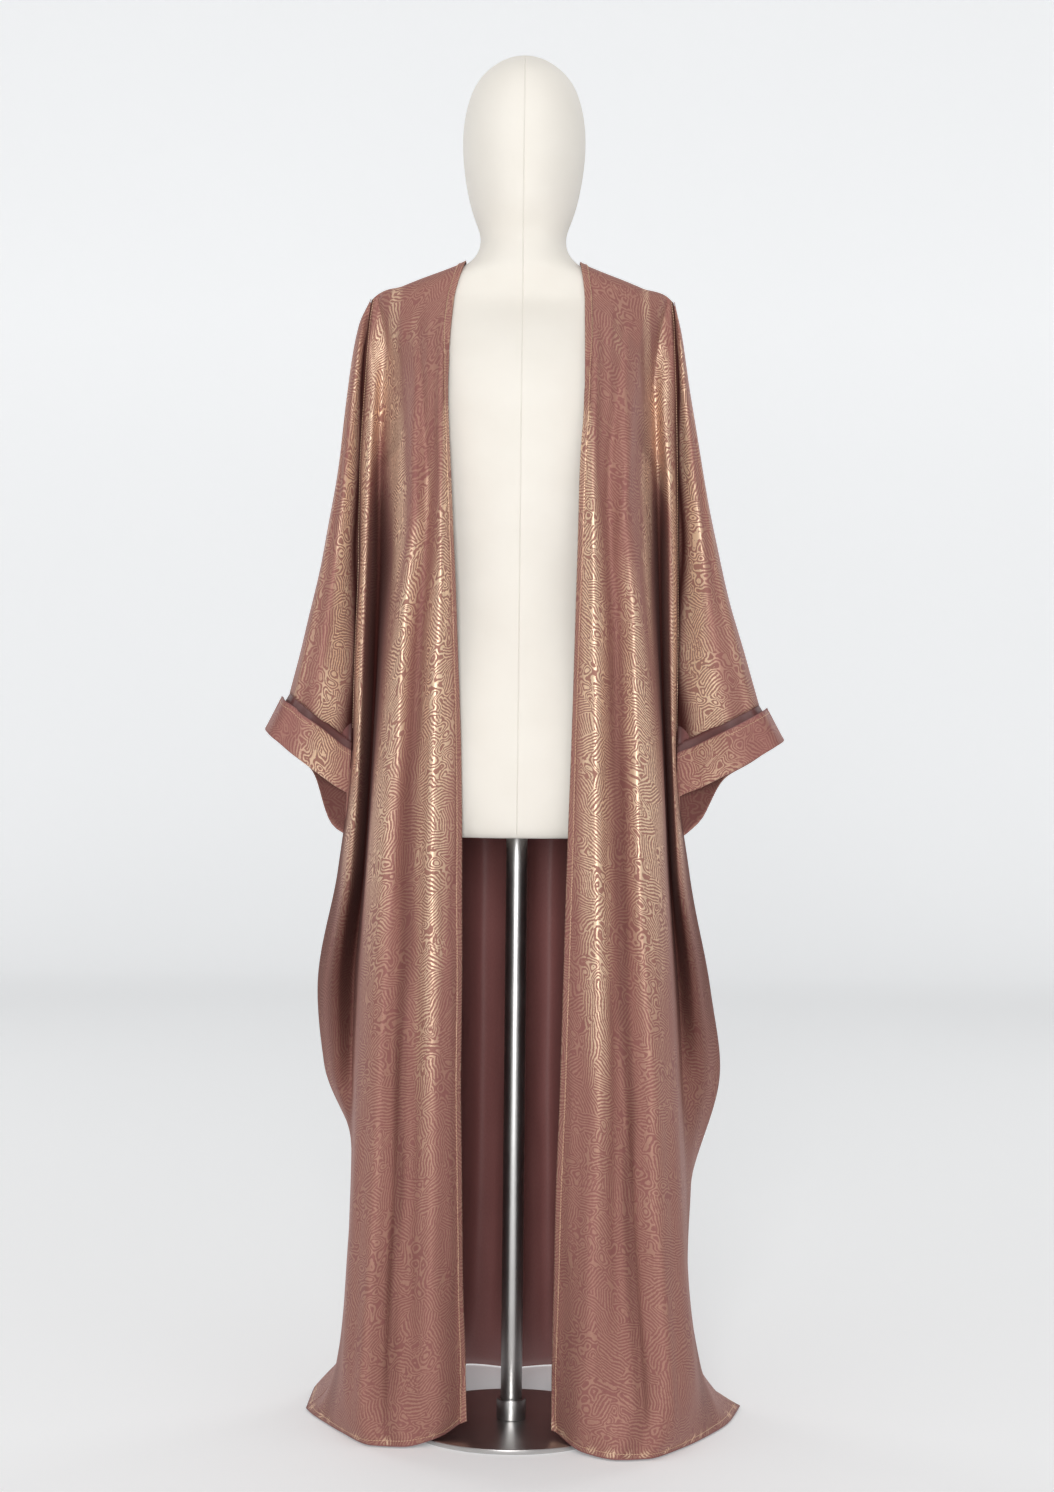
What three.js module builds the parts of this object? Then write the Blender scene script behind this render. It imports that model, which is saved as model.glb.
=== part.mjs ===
// Open-front batwing abaya on a limbless dress form with a round foot.
// Millimetres, +Z up. The origin is the centre of the foot's underside, on the floor.
// The open front faces -Y. Right and left in names are the wearer's, so right is at -X.
import * as THREE from 'three';

// Driving dimensions of the cloth
const CLOTH = 1.6;             // wall of the satin as a solid
const BAND_CLOTH = 1.2;        // wall of the narrow bands that lie on the panels
const SEAM = 0.5;              // space left between two pieces at a seam
const BAND_WIDTH = 10;         // the stitched band along each front edge and the neck
const ARMHOLE_TOP = 1423;      // height where the armhole starts, at the shoulder point
const ARMHOLE_FOOT = 846;      // height where the armhole ends, above the side seam
const NECKLINE = 1477;         // height of the back neckline
const NECK_SIDE = 72;          // each front edge crosses the shoulder this far from the middle
const CUFF_DEPTH = 52;         // from the sleeve seam to the fold of the cuff
const CUFF_RETURN = 44;        // how far the cuff is turned back up
const ON_FORM = 3.0;           // middle of the cloth's wall to the form, where it is carried
const OFF_FORM = 5;            // the same lower down, where the cloth hangs free
const HEM_LIFT = 2.2;          // middle of the hem's wall to the floor, where it just touches
const SIDE_HEM_LIFT = 3;       // the same at the side seam

// Driving dimensions of the stand
const POST_RADIUS = 13.5;
const COLLAR_RADIUS = 18.5;
const COLLAR_HEIGHT = 26;
const FOOT_RADIUS = 140;
const FOOT_THICKNESS = 6;
const FORM_BOTTOM = 745;
const FORM_TOP = 1735;
const TOUCH = 0.3;             // space between two hard pieces that touch
const EDGE = 1;                // cut on the outer edges of the turned pieces

// Heights on the form that the cloth follows
const YOKE = 1300;             // foot of the part that lies over the chest and shoulder blades
const SHOULDER_LOW = 1412;     // the shoulder line ends here, over the arm
const SHOULDER_HIGH = 1470;    // and here, at the foot of the neck
const NECK_FOOT = 1500;        // above every shoulder point
const CHEST = 1330;            // the cloth lies closer to the form from here up
const TABLE_TOP = 1440;        // highest row of the fold tables, for the shoulder line

// A curve through knots that never swings past them, flat at each high or low knot
function curveThrough(at, values) {
  const n = at.length;
  const step = [];
  const slope = [];
  for (let k = 0; k < n - 1; k += 1) {
    step.push(at[k + 1] - at[k]);
    slope.push((values[k + 1] - values[k]) / step[k]);
  }
  const tangent = [slope[0]];
  for (let k = 1; k < n - 1; k += 1) {
    const opposed = slope[k - 1] * slope[k] <= 0;
    const near = 2 * step[k] + step[k - 1];
    const far = step[k] + 2 * step[k - 1];
    tangent.push(opposed ? 0 : (near + far) / (near / slope[k - 1] + far / slope[k]));
  }
  tangent.push(slope[n - 2]);
  return (x) => {
    if (x <= at[0]) return values[0];
    if (x >= at[n - 1]) return values[n - 1];
    let k = 0;
    while (x > at[k + 1]) k += 1;
    const t = (x - at[k]) / step[k];
    const t2 = t * t;
    const t3 = t2 * t;
    return (2 * t3 - 3 * t2 + 1) * values[k] + (t3 - 2 * t2 + t) * step[k] * tangent[k]
      + (3 * t2 - 2 * t3) * values[k + 1] + (t3 - t2) * step[k] * tangent[k + 1];
  };
}

// A table with named columns becomes one curve for each column, over the first column
function table(names, rows) {
  const sorted = [...rows].sort((a, b) => a[0] - b[0]);
  const at = sorted.map((row) => row[0]);
  const curves = {};
  names.split(' ').forEach((name, k) => {
    curves[name] = curveThrough(at, sorted.map((row) => row[k]));
  });
  return curves;
}

const mix = (a, b, t) => a + (b - a) * t;
const clamp01 = (t) => Math.min(1, Math.max(0, t));
const smooth = (from, to, x) => {
  const t = clamp01((x - from) / (to - from));
  return t * t * (3 - 2 * t);
};

// The dress form: half width, front and back of its section at each height
const form = table('z half front back', [
  [745, 146, -88, 96],
  [752, 154, -96, 104],
  [765, 160, -101, 110],
  [830, 168, -106, 120],
  [920, 158, -103, 115],
  [1040, 124, -86, 90],
  [1120, 136, -96, 93],
  [1210, 150, -112, 97],
  [1290, 158, -106, 98],
  [1350, 166, -88, 94],
  [1395, 176, -60, 76],
  [1412, 181, -47, 60],
  [1421, 178, -42, 54],
  [1432, 165, -40, 53],
  [1446, 134, -42, 55],
  [1460, 96, -46, 59],
  [1470, 72, -48, 60],
  [1484, 58, -48, 58],
  [1500, 54, -50, 57],
  [1514, 56, -62, 60],
  [1532, 64, -84, 70],
  [1560, 72, -95, 84],
  [1605, 79, -98, 98],
  [1650, 79, -95, 101],
  [1690, 69, -80, 88],
  [1716, 49, -55, 62],
  [1730, 26, -28, 32],
  [1734, 12, -12, 16],
]);

// How far the form reaches to the front (side -1) or back (side 1) at a place, grown by grow
function formReach(x, z, side, grow) {
  const half = form.half(z - grow) + grow;
  const middle = formMiddle(z);
  const reach = side < 0 ? middle - form.front(z - grow) + grow : form.back(z - grow) - middle + grow;
  const share = 1 - (x / half) ** 2;
  return share > 0 ? middle + side * reach * Math.sqrt(share) : null;
}

// The line down each side of the form lies a little behind the middle, more at the shoulder
const SIDE_LINE_LOW = 2;
const SIDE_LINE_HIGH = 5;
function formMiddle(z) {
  return mix(SIDE_LINE_LOW, SIDE_LINE_HIGH, smooth(YOKE, ARMHOLE_TOP + 2, z));
}

// Height of the shoulder line over the form at a distance from the middle
function shoulderHeight(x, grow) {
  let low = SHOULDER_LOW;
  let high = NECK_FOOT;
  for (let k = 0; k < 40; k += 1) {
    const z = (low + high) / 2;
    if (form.half(z - grow) + grow > x) low = z;
    else high = z;
  }
  return Math.min(low, SHOULDER_HIGH + grow);
}

// Front panels. Folds, from the front edge out to the armhole or side seam:
// edge, broad ridge, soft valley, second ridge, turn, deep valley, column, side.
const FOLDS = ['edge', 'broad', 'soft', 'second', 'turn', 'deep', 'column', 'side'];
const FOLD_COLUMNS = 'z edge broad soft second turn deep column side';
const acrossRight = table(FOLD_COLUMNS, [
  [1440, 72, 90, 108, 127, 148, 168, 181, 192],
  [1395, 86, 100, 115, 131, 150, 171, 184, 198],
  [1300, 91, 100, 114, 129, 147, 177, 187, 203],
  [1200, 87, 97, 112, 128, 149, 179, 191, 205],
  [1100, 82, 96, 116, 133, 152, 179, 194, 205],
  [1000, 77, 99, 121, 140, 161, 181, 196, 208],
  [850, 70, 101, 127, 149, 173, 186, 200, 212],
  [700, 67, 101, 131, 157, 183, 194, 210, 228],
  [550, 66, 99, 132, 161, 190, 206, 226, 253],
  [450, 66, 99, 133, 164, 194, 207, 224, 244],
  [340, 64, 99, 135, 166, 197, 203, 207, 206],
  [200, 61, 98, 140, 170, 203, 208, 209, 203],
  [75, 56, 95, 144, 176, 210, 219, 222, 216],
  [24, 54, 93, 140, 174, 212, 229, 240, 240],
  [3, 52, 90, 132, 170, 210, 234, 254, 264],
]);
const acrossLeft = table(FOLD_COLUMNS, [
  [1440, 72, 88, 106, 125, 147, 166, 180, 192],
  [1395, 78, 92, 110, 127, 147, 166, 181, 196],
  [1300, 78, 90, 108, 126, 147, 169, 181, 199],
  [1200, 74, 88, 107, 127, 149, 174, 186, 200],
  [1100, 72, 91, 112, 133, 155, 177, 189, 201],
  [1000, 70, 93, 119, 141, 164, 180, 191, 202],
  [850, 66, 94, 121, 147, 176, 187, 195, 202],
  [700, 62, 97, 126, 152, 184, 195, 205, 220],
  [550, 59, 102, 132, 160, 193, 208, 226, 249],
  [450, 57, 103, 133, 165, 199, 213, 234, 263],
  [300, 53, 101, 135, 170, 208, 217, 226, 228],
  [200, 52, 99, 140, 176, 214, 220, 222, 216],
  [75, 51, 94, 150, 184, 226, 236, 240, 236],
  [24, 50, 91, 140, 176, 218, 246, 262, 266],
  [3, 50, 88, 130, 166, 208, 248, 276, 297],
]);
const depthRight = table(FOLD_COLUMNS, [
  [1440, 0, 0, 0, 0, 0, 0, 0, 5],
  [1395, -40, -42, -38, -36, -26, -6, -4, 6],
  [1300, -96, -107, -96, -92, -62, -10, -20, 7],
  [1200, -108, -124, -107, -110, -76, -4, -32, 8],
  [1100, -107, -128, -105, -114, -80, 0, -36, 8],
  [1000, -104, -130, -104, -116, -82, 2, -36, 8],
  [850, -106, -132, -106, -118, -84, 4, -36, 8],
  [700, -108, -134, -108, -120, -84, 4, -34, 10],
  [550, -108, -136, -112, -124, -86, 2, -26, 16],
  [450, -106, -136, -114, -126, -88, -4, -14, 22],
  [340, -102, -136, -114, -126, -88, -24, 10, 40],
  [200, -94, -134, -112, -126, -86, -36, 12, 48],
  [75, -82, -124, -110, -124, -80, -34, 12, 50],
  [24, -74, -112, -114, -118, -70, -26, 14, 48],
  [3, -66, -98, -117, -112, -58, -16, 22, 46],
]);
const depthLeft = table(FOLD_COLUMNS, [
  [1440, 0, 0, 0, 0, 0, 0, 0, 5],
  [1395, -40, -42, -38, -36, -26, -6, -4, 6],
  [1300, -96, -106, -94, -92, -64, -8, -20, 7],
  [1200, -110, -122, -106, -112, -78, -2, -32, 8],
  [1100, -110, -126, -104, -116, -82, 2, -36, 8],
  [1000, -108, -130, -104, -120, -84, 2, -36, 8],
  [850, -110, -134, -108, -124, -86, 4, -36, 8],
  [700, -112, -138, -112, -128, -88, 4, -32, 10],
  [550, -112, -142, -118, -134, -92, 0, -22, 18],
  [450, -110, -144, -122, -138, -94, -8, -10, 28],
  [300, -104, -146, -126, -142, -98, -34, 14, 46],
  [200, -98, -148, -130, -146, -100, -42, 14, 54],
  [75, -86, -148, -146, -156, -106, -48, 10, 60],
  [24, -78, -144, -158, -160, -110, -50, 6, 66],
  [3, -72, -138, -162, -156, -112, -52, 2, 76],
]);

// Height of the hem at each fold: the front corners are lifted off the foot
const hemFlat = { soft: HEM_LIFT, second: HEM_LIFT, turn: HEM_LIFT, deep: HEM_LIFT, column: 2.4, side: SIDE_HEM_LIFT };
const hemRight = { ...hemFlat, edge: 26, broad: 9 };
const hemLeft = { ...hemFlat, edge: 16, broad: 4 };

// Back panel: folds from the side in to the middle
const BACK_FOLDS = ['outer', 'hollow', 'blade', 'trough', 'inner', 'middle'];
const backAcross = table('z outer hollow blade trough inner middle', [
  [1440, 180, 156, 128, 98, 62, 0],
  [1395, 184, 160, 132, 100, 58, 0],
  [1300, 188, 164, 136, 100, 52, 0],
  [1000, 192, 164, 132, 94, 46, 0],
  [700, 208, 170, 132, 90, 44, 0],
  [450, 214, 174, 132, 88, 44, 0],
  [200, 200, 172, 134, 92, 46, 0],
  [75, 214, 182, 142, 98, 49, 0],
  [3, 262, 220, 170, 116, 58, 0],
]);
const backDepth = table('z outer hollow blade trough inner middle', [
  [1440, 5, 5, 5, 5, 5, 5],
  [1395, 30, 36, 52, 60, 80, 78],
  [1300, 44, 46, 92, 90, 112, 102],
  [1200, 50, 44, 106, 88, 122, 102],
  [1000, 56, 38, 116, 86, 132, 102],
  [700, 66, 40, 128, 92, 146, 110],
  [450, 78, 50, 138, 100, 158, 118],
  [200, 92, 72, 154, 122, 178, 140],
  [75, 112, 100, 176, 152, 206, 172],
  [24, 134, 134, 206, 190, 242, 214],
  [3, 152, 168, 236, 232, 282, 264],
]);

// Rows of a panel: shares of the way from the shoulder down to the yoke line, then heights
const YOKE_SHARES = [0, 0.012, 0.045, 0.11, 0.22, 0.4, 0.68];
const HEIGHTS = [1300, 1225, 1150, 1075, 1000, 930, 880, 842, 785, 720, 655, 590, 530, 470, 410,
  350, 280, 200, 120, 66, 34, 15, 5, 0];
const HEM_ZONE = 120;          // below this height the rows close up on the hem

// How wide the armhole stands open at a height, from 0 to 1
const ARMHOLE_EASE = 70;       // it opens over this height at its top
const ARMHOLE_CLOSE = 90;      // and closes over this one at its foot
function armholeOpen(z) {
  return smooth(ARMHOLE_TOP + 6, ARMHOLE_TOP - ARMHOLE_EASE, z)
    * smooth(ARMHOLE_FOOT, ARMHOLE_FOOT + ARMHOLE_CLOSE, z);
}
const ARMHOLE_FRONT = 24;      // the front edge of the open armhole lies this far before the side line
const ARMHOLE_BACK = 24;       // and the back edge this far behind it

// The side line, where the front panel, back panel and sleeve meet
function sideLine(side, z) {
  const across = side < 0 ? acrossRight : acrossLeft;
  const depth = side < 0 ? depthRight : depthLeft;
  const open = armholeOpen(z);
  return {
    x: across.side(z),
    front: depth.side(z) - SEAM / 2 - open * ARMHOLE_FRONT,
    back: depth.side(z) + SEAM / 2 + open * ARMHOLE_BACK,
  };
}

// The height of a panel's row below the shoulder point of a column
function rowHeight(row, top, hem) {
  if (row < YOKE_SHARES.length) return mix(top, YOKE, YOKE_SHARES[row]);
  const z = HEIGHTS[row - YOKE_SHARES.length];
  return z < HEM_ZONE ? mix(hem, HEM_ZONE, z / HEM_ZONE) : z;
}

// Places along a section, as fold number plus a share, with steps parts between two folds
function placesBetween(first, last, steps) {
  const places = [];
  for (let k = first; k < last; k += 1) {
    for (let s = 0; s < steps; s += 1) places.push(k + s / steps);
  }
  return [...places, last];
}

const ROWS = YOKE_SHARES.length + HEIGHTS.length;
const frontPlaces = placesBetween(1, FOLDS.length - 1, 3);
const backPlaces = placesBetween(0, BACK_FOLDS.length, 3);

// The places of the band's inner side and of one more point before the broad ridge
function besideBand(across, depth) {
  const start = [across(0), depth(0)];
  let near = 0;
  let far = 1;
  for (let k = 0; k < 30; k += 1) {
    const place = (near + far) / 2;
    const width = Math.hypot(across(place) - start[0], depth(place) - start[1]);
    if (width < BAND_WIDTH) near = place;
    else far = place;
  }
  return [near, (near + 1) / 2];
}

// A row of a front panel: the curve through its folds at one level
function frontRow(side, row) {
  const across = side < 0 ? acrossRight : acrossLeft;
  const depth = side < 0 ? depthRight : depthLeft;
  const hems = side < 0 ? hemRight : hemLeft;
  const knots = FOLDS.map((fold) => {
    const top = shoulderHeight(across[fold](NECK_FOOT), ON_FORM);
    const z = rowHeight(row, top, hems[fold]);
    const share = row < YOKE_SHARES.length ? YOKE_SHARES[row] : 1;
    const level = row < YOKE_SHARES.length ? mix(TABLE_TOP, YOKE, share) : z;
    const isSide = fold === 'side';
    return {
      x: across[fold](level),
      y: isSide ? sideLine(side, z).front : depth[fold](level),
      z,
    };
  });
  return rowThrough(knots, side, -1, row);
}

// The points of a row, kept clear of the form
function rowThrough(knots, side, face, row) {
  const at = knots.map((knot, k) => k);
  const across = curveThrough(at, knots.map((knot) => knot.x));
  const depth = curveThrough(at, knots.map((knot) => knot.y));
  const height = curveThrough(at, knots.map((knot) => knot.z));
  const places = face < 0 ? [0, ...besideBand(across, depth), ...frontPlaces] : backPlaces;
  return places.map((place) => {
    const x = across(place);
    const z = row === 0 ? Math.min(height(place), shoulderHeight(x, ON_FORM)) : height(place);
    return new THREE.Vector3(side * x, clearOfForm(x, depth(place), z, face, row), z);
  });
}

// Moves a depth out to the grown form's surface where it would lie inside it
function clearOfForm(x, y, z, face, row) {
  const surface = formReach(x, z, face, mix(OFF_FORM, ON_FORM, smooth(CHEST, ARMHOLE_TOP - 3, z)));
  if (surface === null) return row === 0 && z > SHOULDER_LOW - 12 ? formMiddle(z) + face * SEAM / 2 : y;
  if (row === 0 && x >= NECK_SIDE - 1) return formMiddle(z) + face * SEAM / 2;
  return face < 0 ? Math.min(y, surface) : Math.max(y, surface);
}

// The points of the whole front panel, row by row
function frontPoints(side) {
  const rows = [];
  for (let row = 0; row < ROWS; row += 1) rows.push(frontRow(side, row));
  return rows;
}

// A row of one half of the back panel, from the side line in to the middle
function backRow(side, row) {
  const across = side < 0 ? acrossRight : acrossLeft;
  const knots = ['side', ...BACK_FOLDS].map((fold) => {
    const isSide = fold === 'side';
    const column = isSide ? across.side : backAcross[fold];
    const topX = column(NECK_FOOT);
    const top = Math.min(shoulderHeight(topX, ON_FORM), topX < NECK_SIDE ? NECKLINE : NECK_FOOT);
    const hem = isSide ? SIDE_HEM_LIFT : HEM_LIFT;
    const z = rowHeight(row, top, hem);
    const level = row < YOKE_SHARES.length ? mix(TABLE_TOP, YOKE, YOKE_SHARES[row]) : z;
    return {
      x: column(level),
      y: isSide ? sideLine(side, z).back : backDepth[fold](level),
      z,
    };
  });
  return rowThrough(knots, side, 1, row);
}

// The points of the back panel, from the right side line round to the left one
function backPoints() {
  const rows = [];
  for (let row = 0; row < ROWS; row += 1) {
    const right = backRow(-1, row);
    const left = backRow(1, row).reverse();
    rows.push([...right, ...left.slice(1)]);
  }
  return rows;
}

// The direction out of a sheet at each point, from its neighbours in both ways
function normalsOf(points, { closed = false, sign = 1, fixed = () => null } = {}) {
  const last = points.length - 1;
  return points.map((row, i) => row.map((point, j) => {
    const given = fixed(i, j);
    if (given) return given.clone().normalize();
    const end = row.length - 1;
    const before = closed ? row[(j + end) % (end + 1)] : row[Math.max(0, j - 1)];
    const after = closed ? row[(j + 1) % (end + 1)] : row[Math.min(end, j + 1)];
    const along = after.clone().sub(before);
    const down = points[Math.min(last, i + 1)][j].clone().sub(points[Math.max(0, i - 1)][j]);
    return along.cross(down).normalize().multiplyScalar(sign);
  }));
}

// A closed wall with the sheet's points in its middle
function wall(points, normals, thickness, closed = false) {
  const rows = points.length;
  const columns = points[0].length;
  const position = [];
  for (const side of [1, -1]) {
    for (let i = 0; i < rows; i += 1) {
      for (let j = 0; j < columns; j += 1) {
        const place = points[i][j].clone().addScaledVector(normals[i][j], side * thickness / 2);
        position.push(place.x, place.y, place.z);
      }
    }
  }
  const outer = (i, j) => i * columns + (j % columns);
  const inner = (i, j) => rows * columns + outer(i, j);
  const index = [];
  const quad = (a, b, c, d) => index.push(a, b, c, a, c, d);
  const spans = closed ? columns : columns - 1;
  for (let i = 0; i < rows - 1; i += 1) {
    for (let j = 0; j < spans; j += 1) {
      quad(outer(i, j), outer(i + 1, j), outer(i + 1, j + 1), outer(i, j + 1));
      quad(inner(i, j), inner(i, j + 1), inner(i + 1, j + 1), inner(i + 1, j));
    }
  }
  for (let j = 0; j < spans; j += 1) {
    quad(outer(0, j), outer(0, j + 1), inner(0, j + 1), inner(0, j));
    quad(outer(rows - 1, j), inner(rows - 1, j), inner(rows - 1, j + 1), outer(rows - 1, j + 1));
  }
  for (let i = 0; i < rows - 1 && !closed; i += 1) {
    const end = columns - 1;
    quad(outer(i, 0), inner(i, 0), inner(i + 1, 0), outer(i + 1, 0));
    quad(outer(i, end), outer(i + 1, end), inner(i + 1, end), inner(i, end));
  }
  return facingOut(position, index);
}

// A geometry whose faces point out, turned round if they don't
function facingOut(position, index) {
  const at = (k) => new THREE.Vector3(position[3 * k], position[3 * k + 1], position[3 * k + 2]);
  let volume = 0;
  for (let k = 0; k < index.length; k += 3) {
    volume += at(index[k]).dot(at(index[k + 1]).cross(at(index[k + 2])));
  }
  if (volume < 0) {
    for (let k = 0; k < index.length; k += 3) {
      [index[k + 1], index[k + 2]] = [index[k + 2], index[k + 1]];
    }
  }
  const geometry = new THREE.BufferGeometry();
  geometry.setAttribute('position', new THREE.Float32BufferAttribute(position, 3));
  geometry.setIndex(index);
  geometry.computeVertexNormals();
  return geometry;
}

// The points of a sheet moved out along its normals
function movedOut(points, normals, distance) {
  return points.map((row, i) => row.map((point, j) => (
    point.clone().addScaledVector(normals[i][j], distance))));
}

const satin = new THREE.MeshStandardMaterial({ color: 0x9a6a60, roughness: 0.45, metalness: 0.1 });
const canvas = new THREE.MeshStandardMaterial({ color: 0xeeeae2, roughness: 0.9, metalness: 0 });
const steel = new THREE.MeshStandardMaterial({ color: 0xb9bbbd, roughness: 0.3, metalness: 1 });
const abaya = new THREE.Group();

function add(name, geometry, material) {
  const mesh = new THREE.Mesh(geometry, material);
  mesh.name = name;
  abaya.add(mesh);
  return mesh;
}

// Straight up from the shoulder line, square to its slope
const SHOULDER_SLOPE = THREE.MathUtils.degToRad(23);
const shoulderUp = (side) => new THREE.Vector3(side * Math.sin(SHOULDER_SLOPE), 0, Math.cos(SHOULDER_SLOPE));
const sideName = (side) => (side < 0 ? 'right' : 'left');

// At the side line the sheet faces the front or back by the armhole, and the side below it
const SIDE_TURN_BELOW = 10;
const SIDE_TURN_ABOVE = 60;
function sideNormal(side, z, face) {
  const open = smooth(ARMHOLE_FOOT - SIDE_TURN_BELOW, ARMHOLE_FOOT + SIDE_TURN_ABOVE, z);
  return new THREE.Vector3(side * (1 - open), face * open, 0);
}

const fronts = {};
for (const side of [-1, 1]) {
  const points = frontPoints(side);
  const normals = normalsOf(points, {
    sign: -side,
    fixed: (i, j) => {
      if (i === 0) return shoulderUp(side);
      if (j === points[0].length - 1) return sideNormal(side, points[i][j].z, -1);
      return null;
    },
  });
  fronts[side] = { points, normals };
  add(`front_${sideName(side)}`, wall(points, normals, CLOTH), satin);
}

const back = backPoints();
const backNormals = normalsOf(back, {
  fixed: (i, j) => {
    const point = back[i][j];
    const side = j < back[0].length / 2 ? -1 : 1;
    if (i === 0 && Math.abs(point.x) > NECK_SIDE - 4) return shoulderUp(side);
    if (j === 0 || j === back[0].length - 1) return sideNormal(side, point.z, 1);
    return null;
  },
});
add('back_panel', wall(back, backNormals, CLOTH), satin);

// The over-arm line of each sleeve, from the shoulder point to the cuff seam
const overArm = {
  '-1': table('z x y', [[1427, 193, 5], [1395, 207, 8], [1300, 223, 14], [1200, 234, 16], [1100, 251, 16],
    [1000, 273, 14], [924, 291, 10]]),
  1: table('z x y', [[1427, 193, 5], [1395, 200, 8], [1300, 217, 14], [1200, 234, 16], [1100, 254, 16],
    [1000, 281, 14], [915, 306, 8]]),
};
const CUFF_SEAM_TOP = { '-1': 924, 1: 915 };   // where the over-arm line meets the cuff
const CUFF_SEAM_FOOT = 862;                    // where the cuff's seam meets the armhole
const SLEEVE_TOP = 1427;       // the over-arm line starts here, just over the armhole
const SLEEVE_OPEN = 7;         // the sleeve's end stands this far out of the armhole, for the cuff
const SLEEVE_FULLNESS = 20;    // extra depth of the front and back of the sleeve
const SLEEVE_SAG = 26;         // the back of the sleeve hangs lower by this much at the cuff
const SLEEVE_ROWS = 15;
const SLEEVE_COLUMNS = 16;

// Soft folds that run down a sleeve from the shoulder, for each: place round it, height, width
const SLEEVE_FOLDS = [
  { round: 0.18, rise: 5, width: 0.07 },
  { round: 0.34, rise: 6, width: 0.06 },
  { round: 0.66, rise: 6, width: 0.06 },
  { round: 0.82, rise: 5, width: 0.07 },
];

// A point of a sleeve: round goes from the front of the armhole over the arm to its back
function sleevePoint(side, along, round) {
  const arm = overArm[side];
  const topZ = mix(SLEEVE_TOP, CUFF_SEAM_TOP[side], along);
  const footZ = mix(ARMHOLE_TOP - 2, CUFF_SEAM_FOOT, along);
  const hole = sideLine(side, footZ);
  const clear = SEAM + CLOTH * 0.1 + SLEEVE_OPEN * smooth(0.86, 1, along);
  const turn = Math.PI * round;
  const reach = Math.sin(turn) ** 0.85;
  const middle = (hole.front + hole.back) / 2;
  const half = (hole.back - hole.front) / 2;
  const fullness = SLEEVE_FULLNESS * smooth(0.05, 0.7, along) * Math.sin(2 * turn);
  const fade = smooth(0.15, 0.5, along);
  let fold = 0;
  for (const { round: at, rise, width } of SLEEVE_FOLDS) {
    fold += rise * fade * Math.exp(-(((round - at) / width) ** 2)) * Math.sign(Math.cos(turn));
  }
  const x = mix(hole.x + clear, arm.x(topZ), reach);
  const y = mix(middle, arm.y(topZ), reach * 0.6) - half * Math.cos(turn) - fullness - fold;
  const sag = round > 0.5 ? SLEEVE_SAG * smooth(0.5, 1, along) * Math.sin(2 * turn) ** 2 : 0;
  const z = mix(footZ, topZ, reach) - sag;
  return new THREE.Vector3(side * x, y, z);
}

// Across each sleeve's row the armhole's seam faces straight to the front and back
const sleeves = {};
for (const side of [-1, 1]) {
  const points = [];
  for (let i = 0; i <= SLEEVE_ROWS; i += 1) {
    const row = [];
    for (let j = 0; j <= SLEEVE_COLUMNS; j += 1) {
      row.push(sleevePoint(side, i / SLEEVE_ROWS, j / SLEEVE_COLUMNS));
    }
    points.push(row);
  }
  const normals = normalsOf(points, {
    sign: -side,
    fixed: (i, j) => {
      if (i > 0 && j === 0) return new THREE.Vector3(0, -1, 0);
      if (i > 0 && j === SLEEVE_COLUMNS) return new THREE.Vector3(0, 1, 0);
      return null;
    },
  });
  sleeves[side] = { points, normals };
  add(`sleeve_${sideName(side)}`, wall(points, normals, CLOTH), satin);
}

// A turned-back cuff: down from the seam to the fold, and back up outside, free at its edge
const CUFF_STEPS = 4;
const CUFF_TURN = 4;
const CUFF_LIFT = 5;           // the returned layer stands this far off the inner one
const CUFF_GAPE = 9;           // and this much more where it gapes, at the middle of its front
const CUFF_INNER = 212;        // the cuff's side by the armhole lies this far from the middle
const CUFF_WIDTH = 85;         // and its over-arm side this much further out
for (const side of [-1, 1]) {
  const last = sleeves[side].points[SLEEVE_ROWS];
  const loop = last.map((point) => point.clone());
  const front = last[0];
  const rear = last[SLEEVE_COLUMNS];
  for (const share of [0.3, 0.7]) {
    const turned = rear.clone().lerp(front, share);
    turned.x -= side;
    loop.push(turned);
  }
  const count = loop.length;
  const middle = loop.reduce((sum, point) => sum.add(point), new THREE.Vector3()).divideScalar(count);
  // Out and down at the over-arm end, nearly straight down at the armhole
  const down = loop.map((point) => {
    const share = clamp01((Math.abs(point.x) - CUFF_INNER) / CUFF_WIDTH);
    return new THREE.Vector3(side * mix(0.3, 0.52, share), 0, -mix(0.95, 0.85, share)).normalize();
  });
  const out = loop.map((point, j) => {
    const along = loop[(j + 1) % count].clone().sub(loop[(j + count - 1) % count]);
    const direction = along.cross(down[j]).normalize();
    return direction.dot(point.clone().sub(middle)) < 0 ? direction.negate() : direction;
  });
  const rows = [];
  const addRow = (depth, lift) => rows.push(loop.map((point, j) => {
    const place = (j / SLEEVE_COLUMNS);
    const gape = place < 0.5 ? Math.sin(2 * Math.PI * place) ** 2 : 0.3;
    const offset = lift * (CUFF_LIFT + CUFF_GAPE * gape * clamp01((CUFF_DEPTH - depth) / CUFF_DEPTH));
    return point.clone().addScaledVector(down[j], 2 * SEAM + depth).addScaledVector(out[j], offset);
  }));
  for (let k = 0; k < CUFF_STEPS; k += 1) addRow(CUFF_DEPTH * k / CUFF_STEPS, 0);
  for (let k = 0; k <= CUFF_TURN; k += 1) {
    const angle = Math.PI * k / CUFF_TURN;
    addRow(CUFF_DEPTH + CUFF_LIFT / 2 * Math.sin(angle), (1 - Math.cos(angle)) / 2);
  }
  for (let k = 1; k <= CUFF_STEPS; k += 1) addRow(CUFF_DEPTH - CUFF_RETURN * k / CUFF_STEPS, 1);
  add(`cuff_${sideName(side)}`, wall(rows, normalsOf(rows, { closed: true }), CLOTH, true), satin);
}

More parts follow.
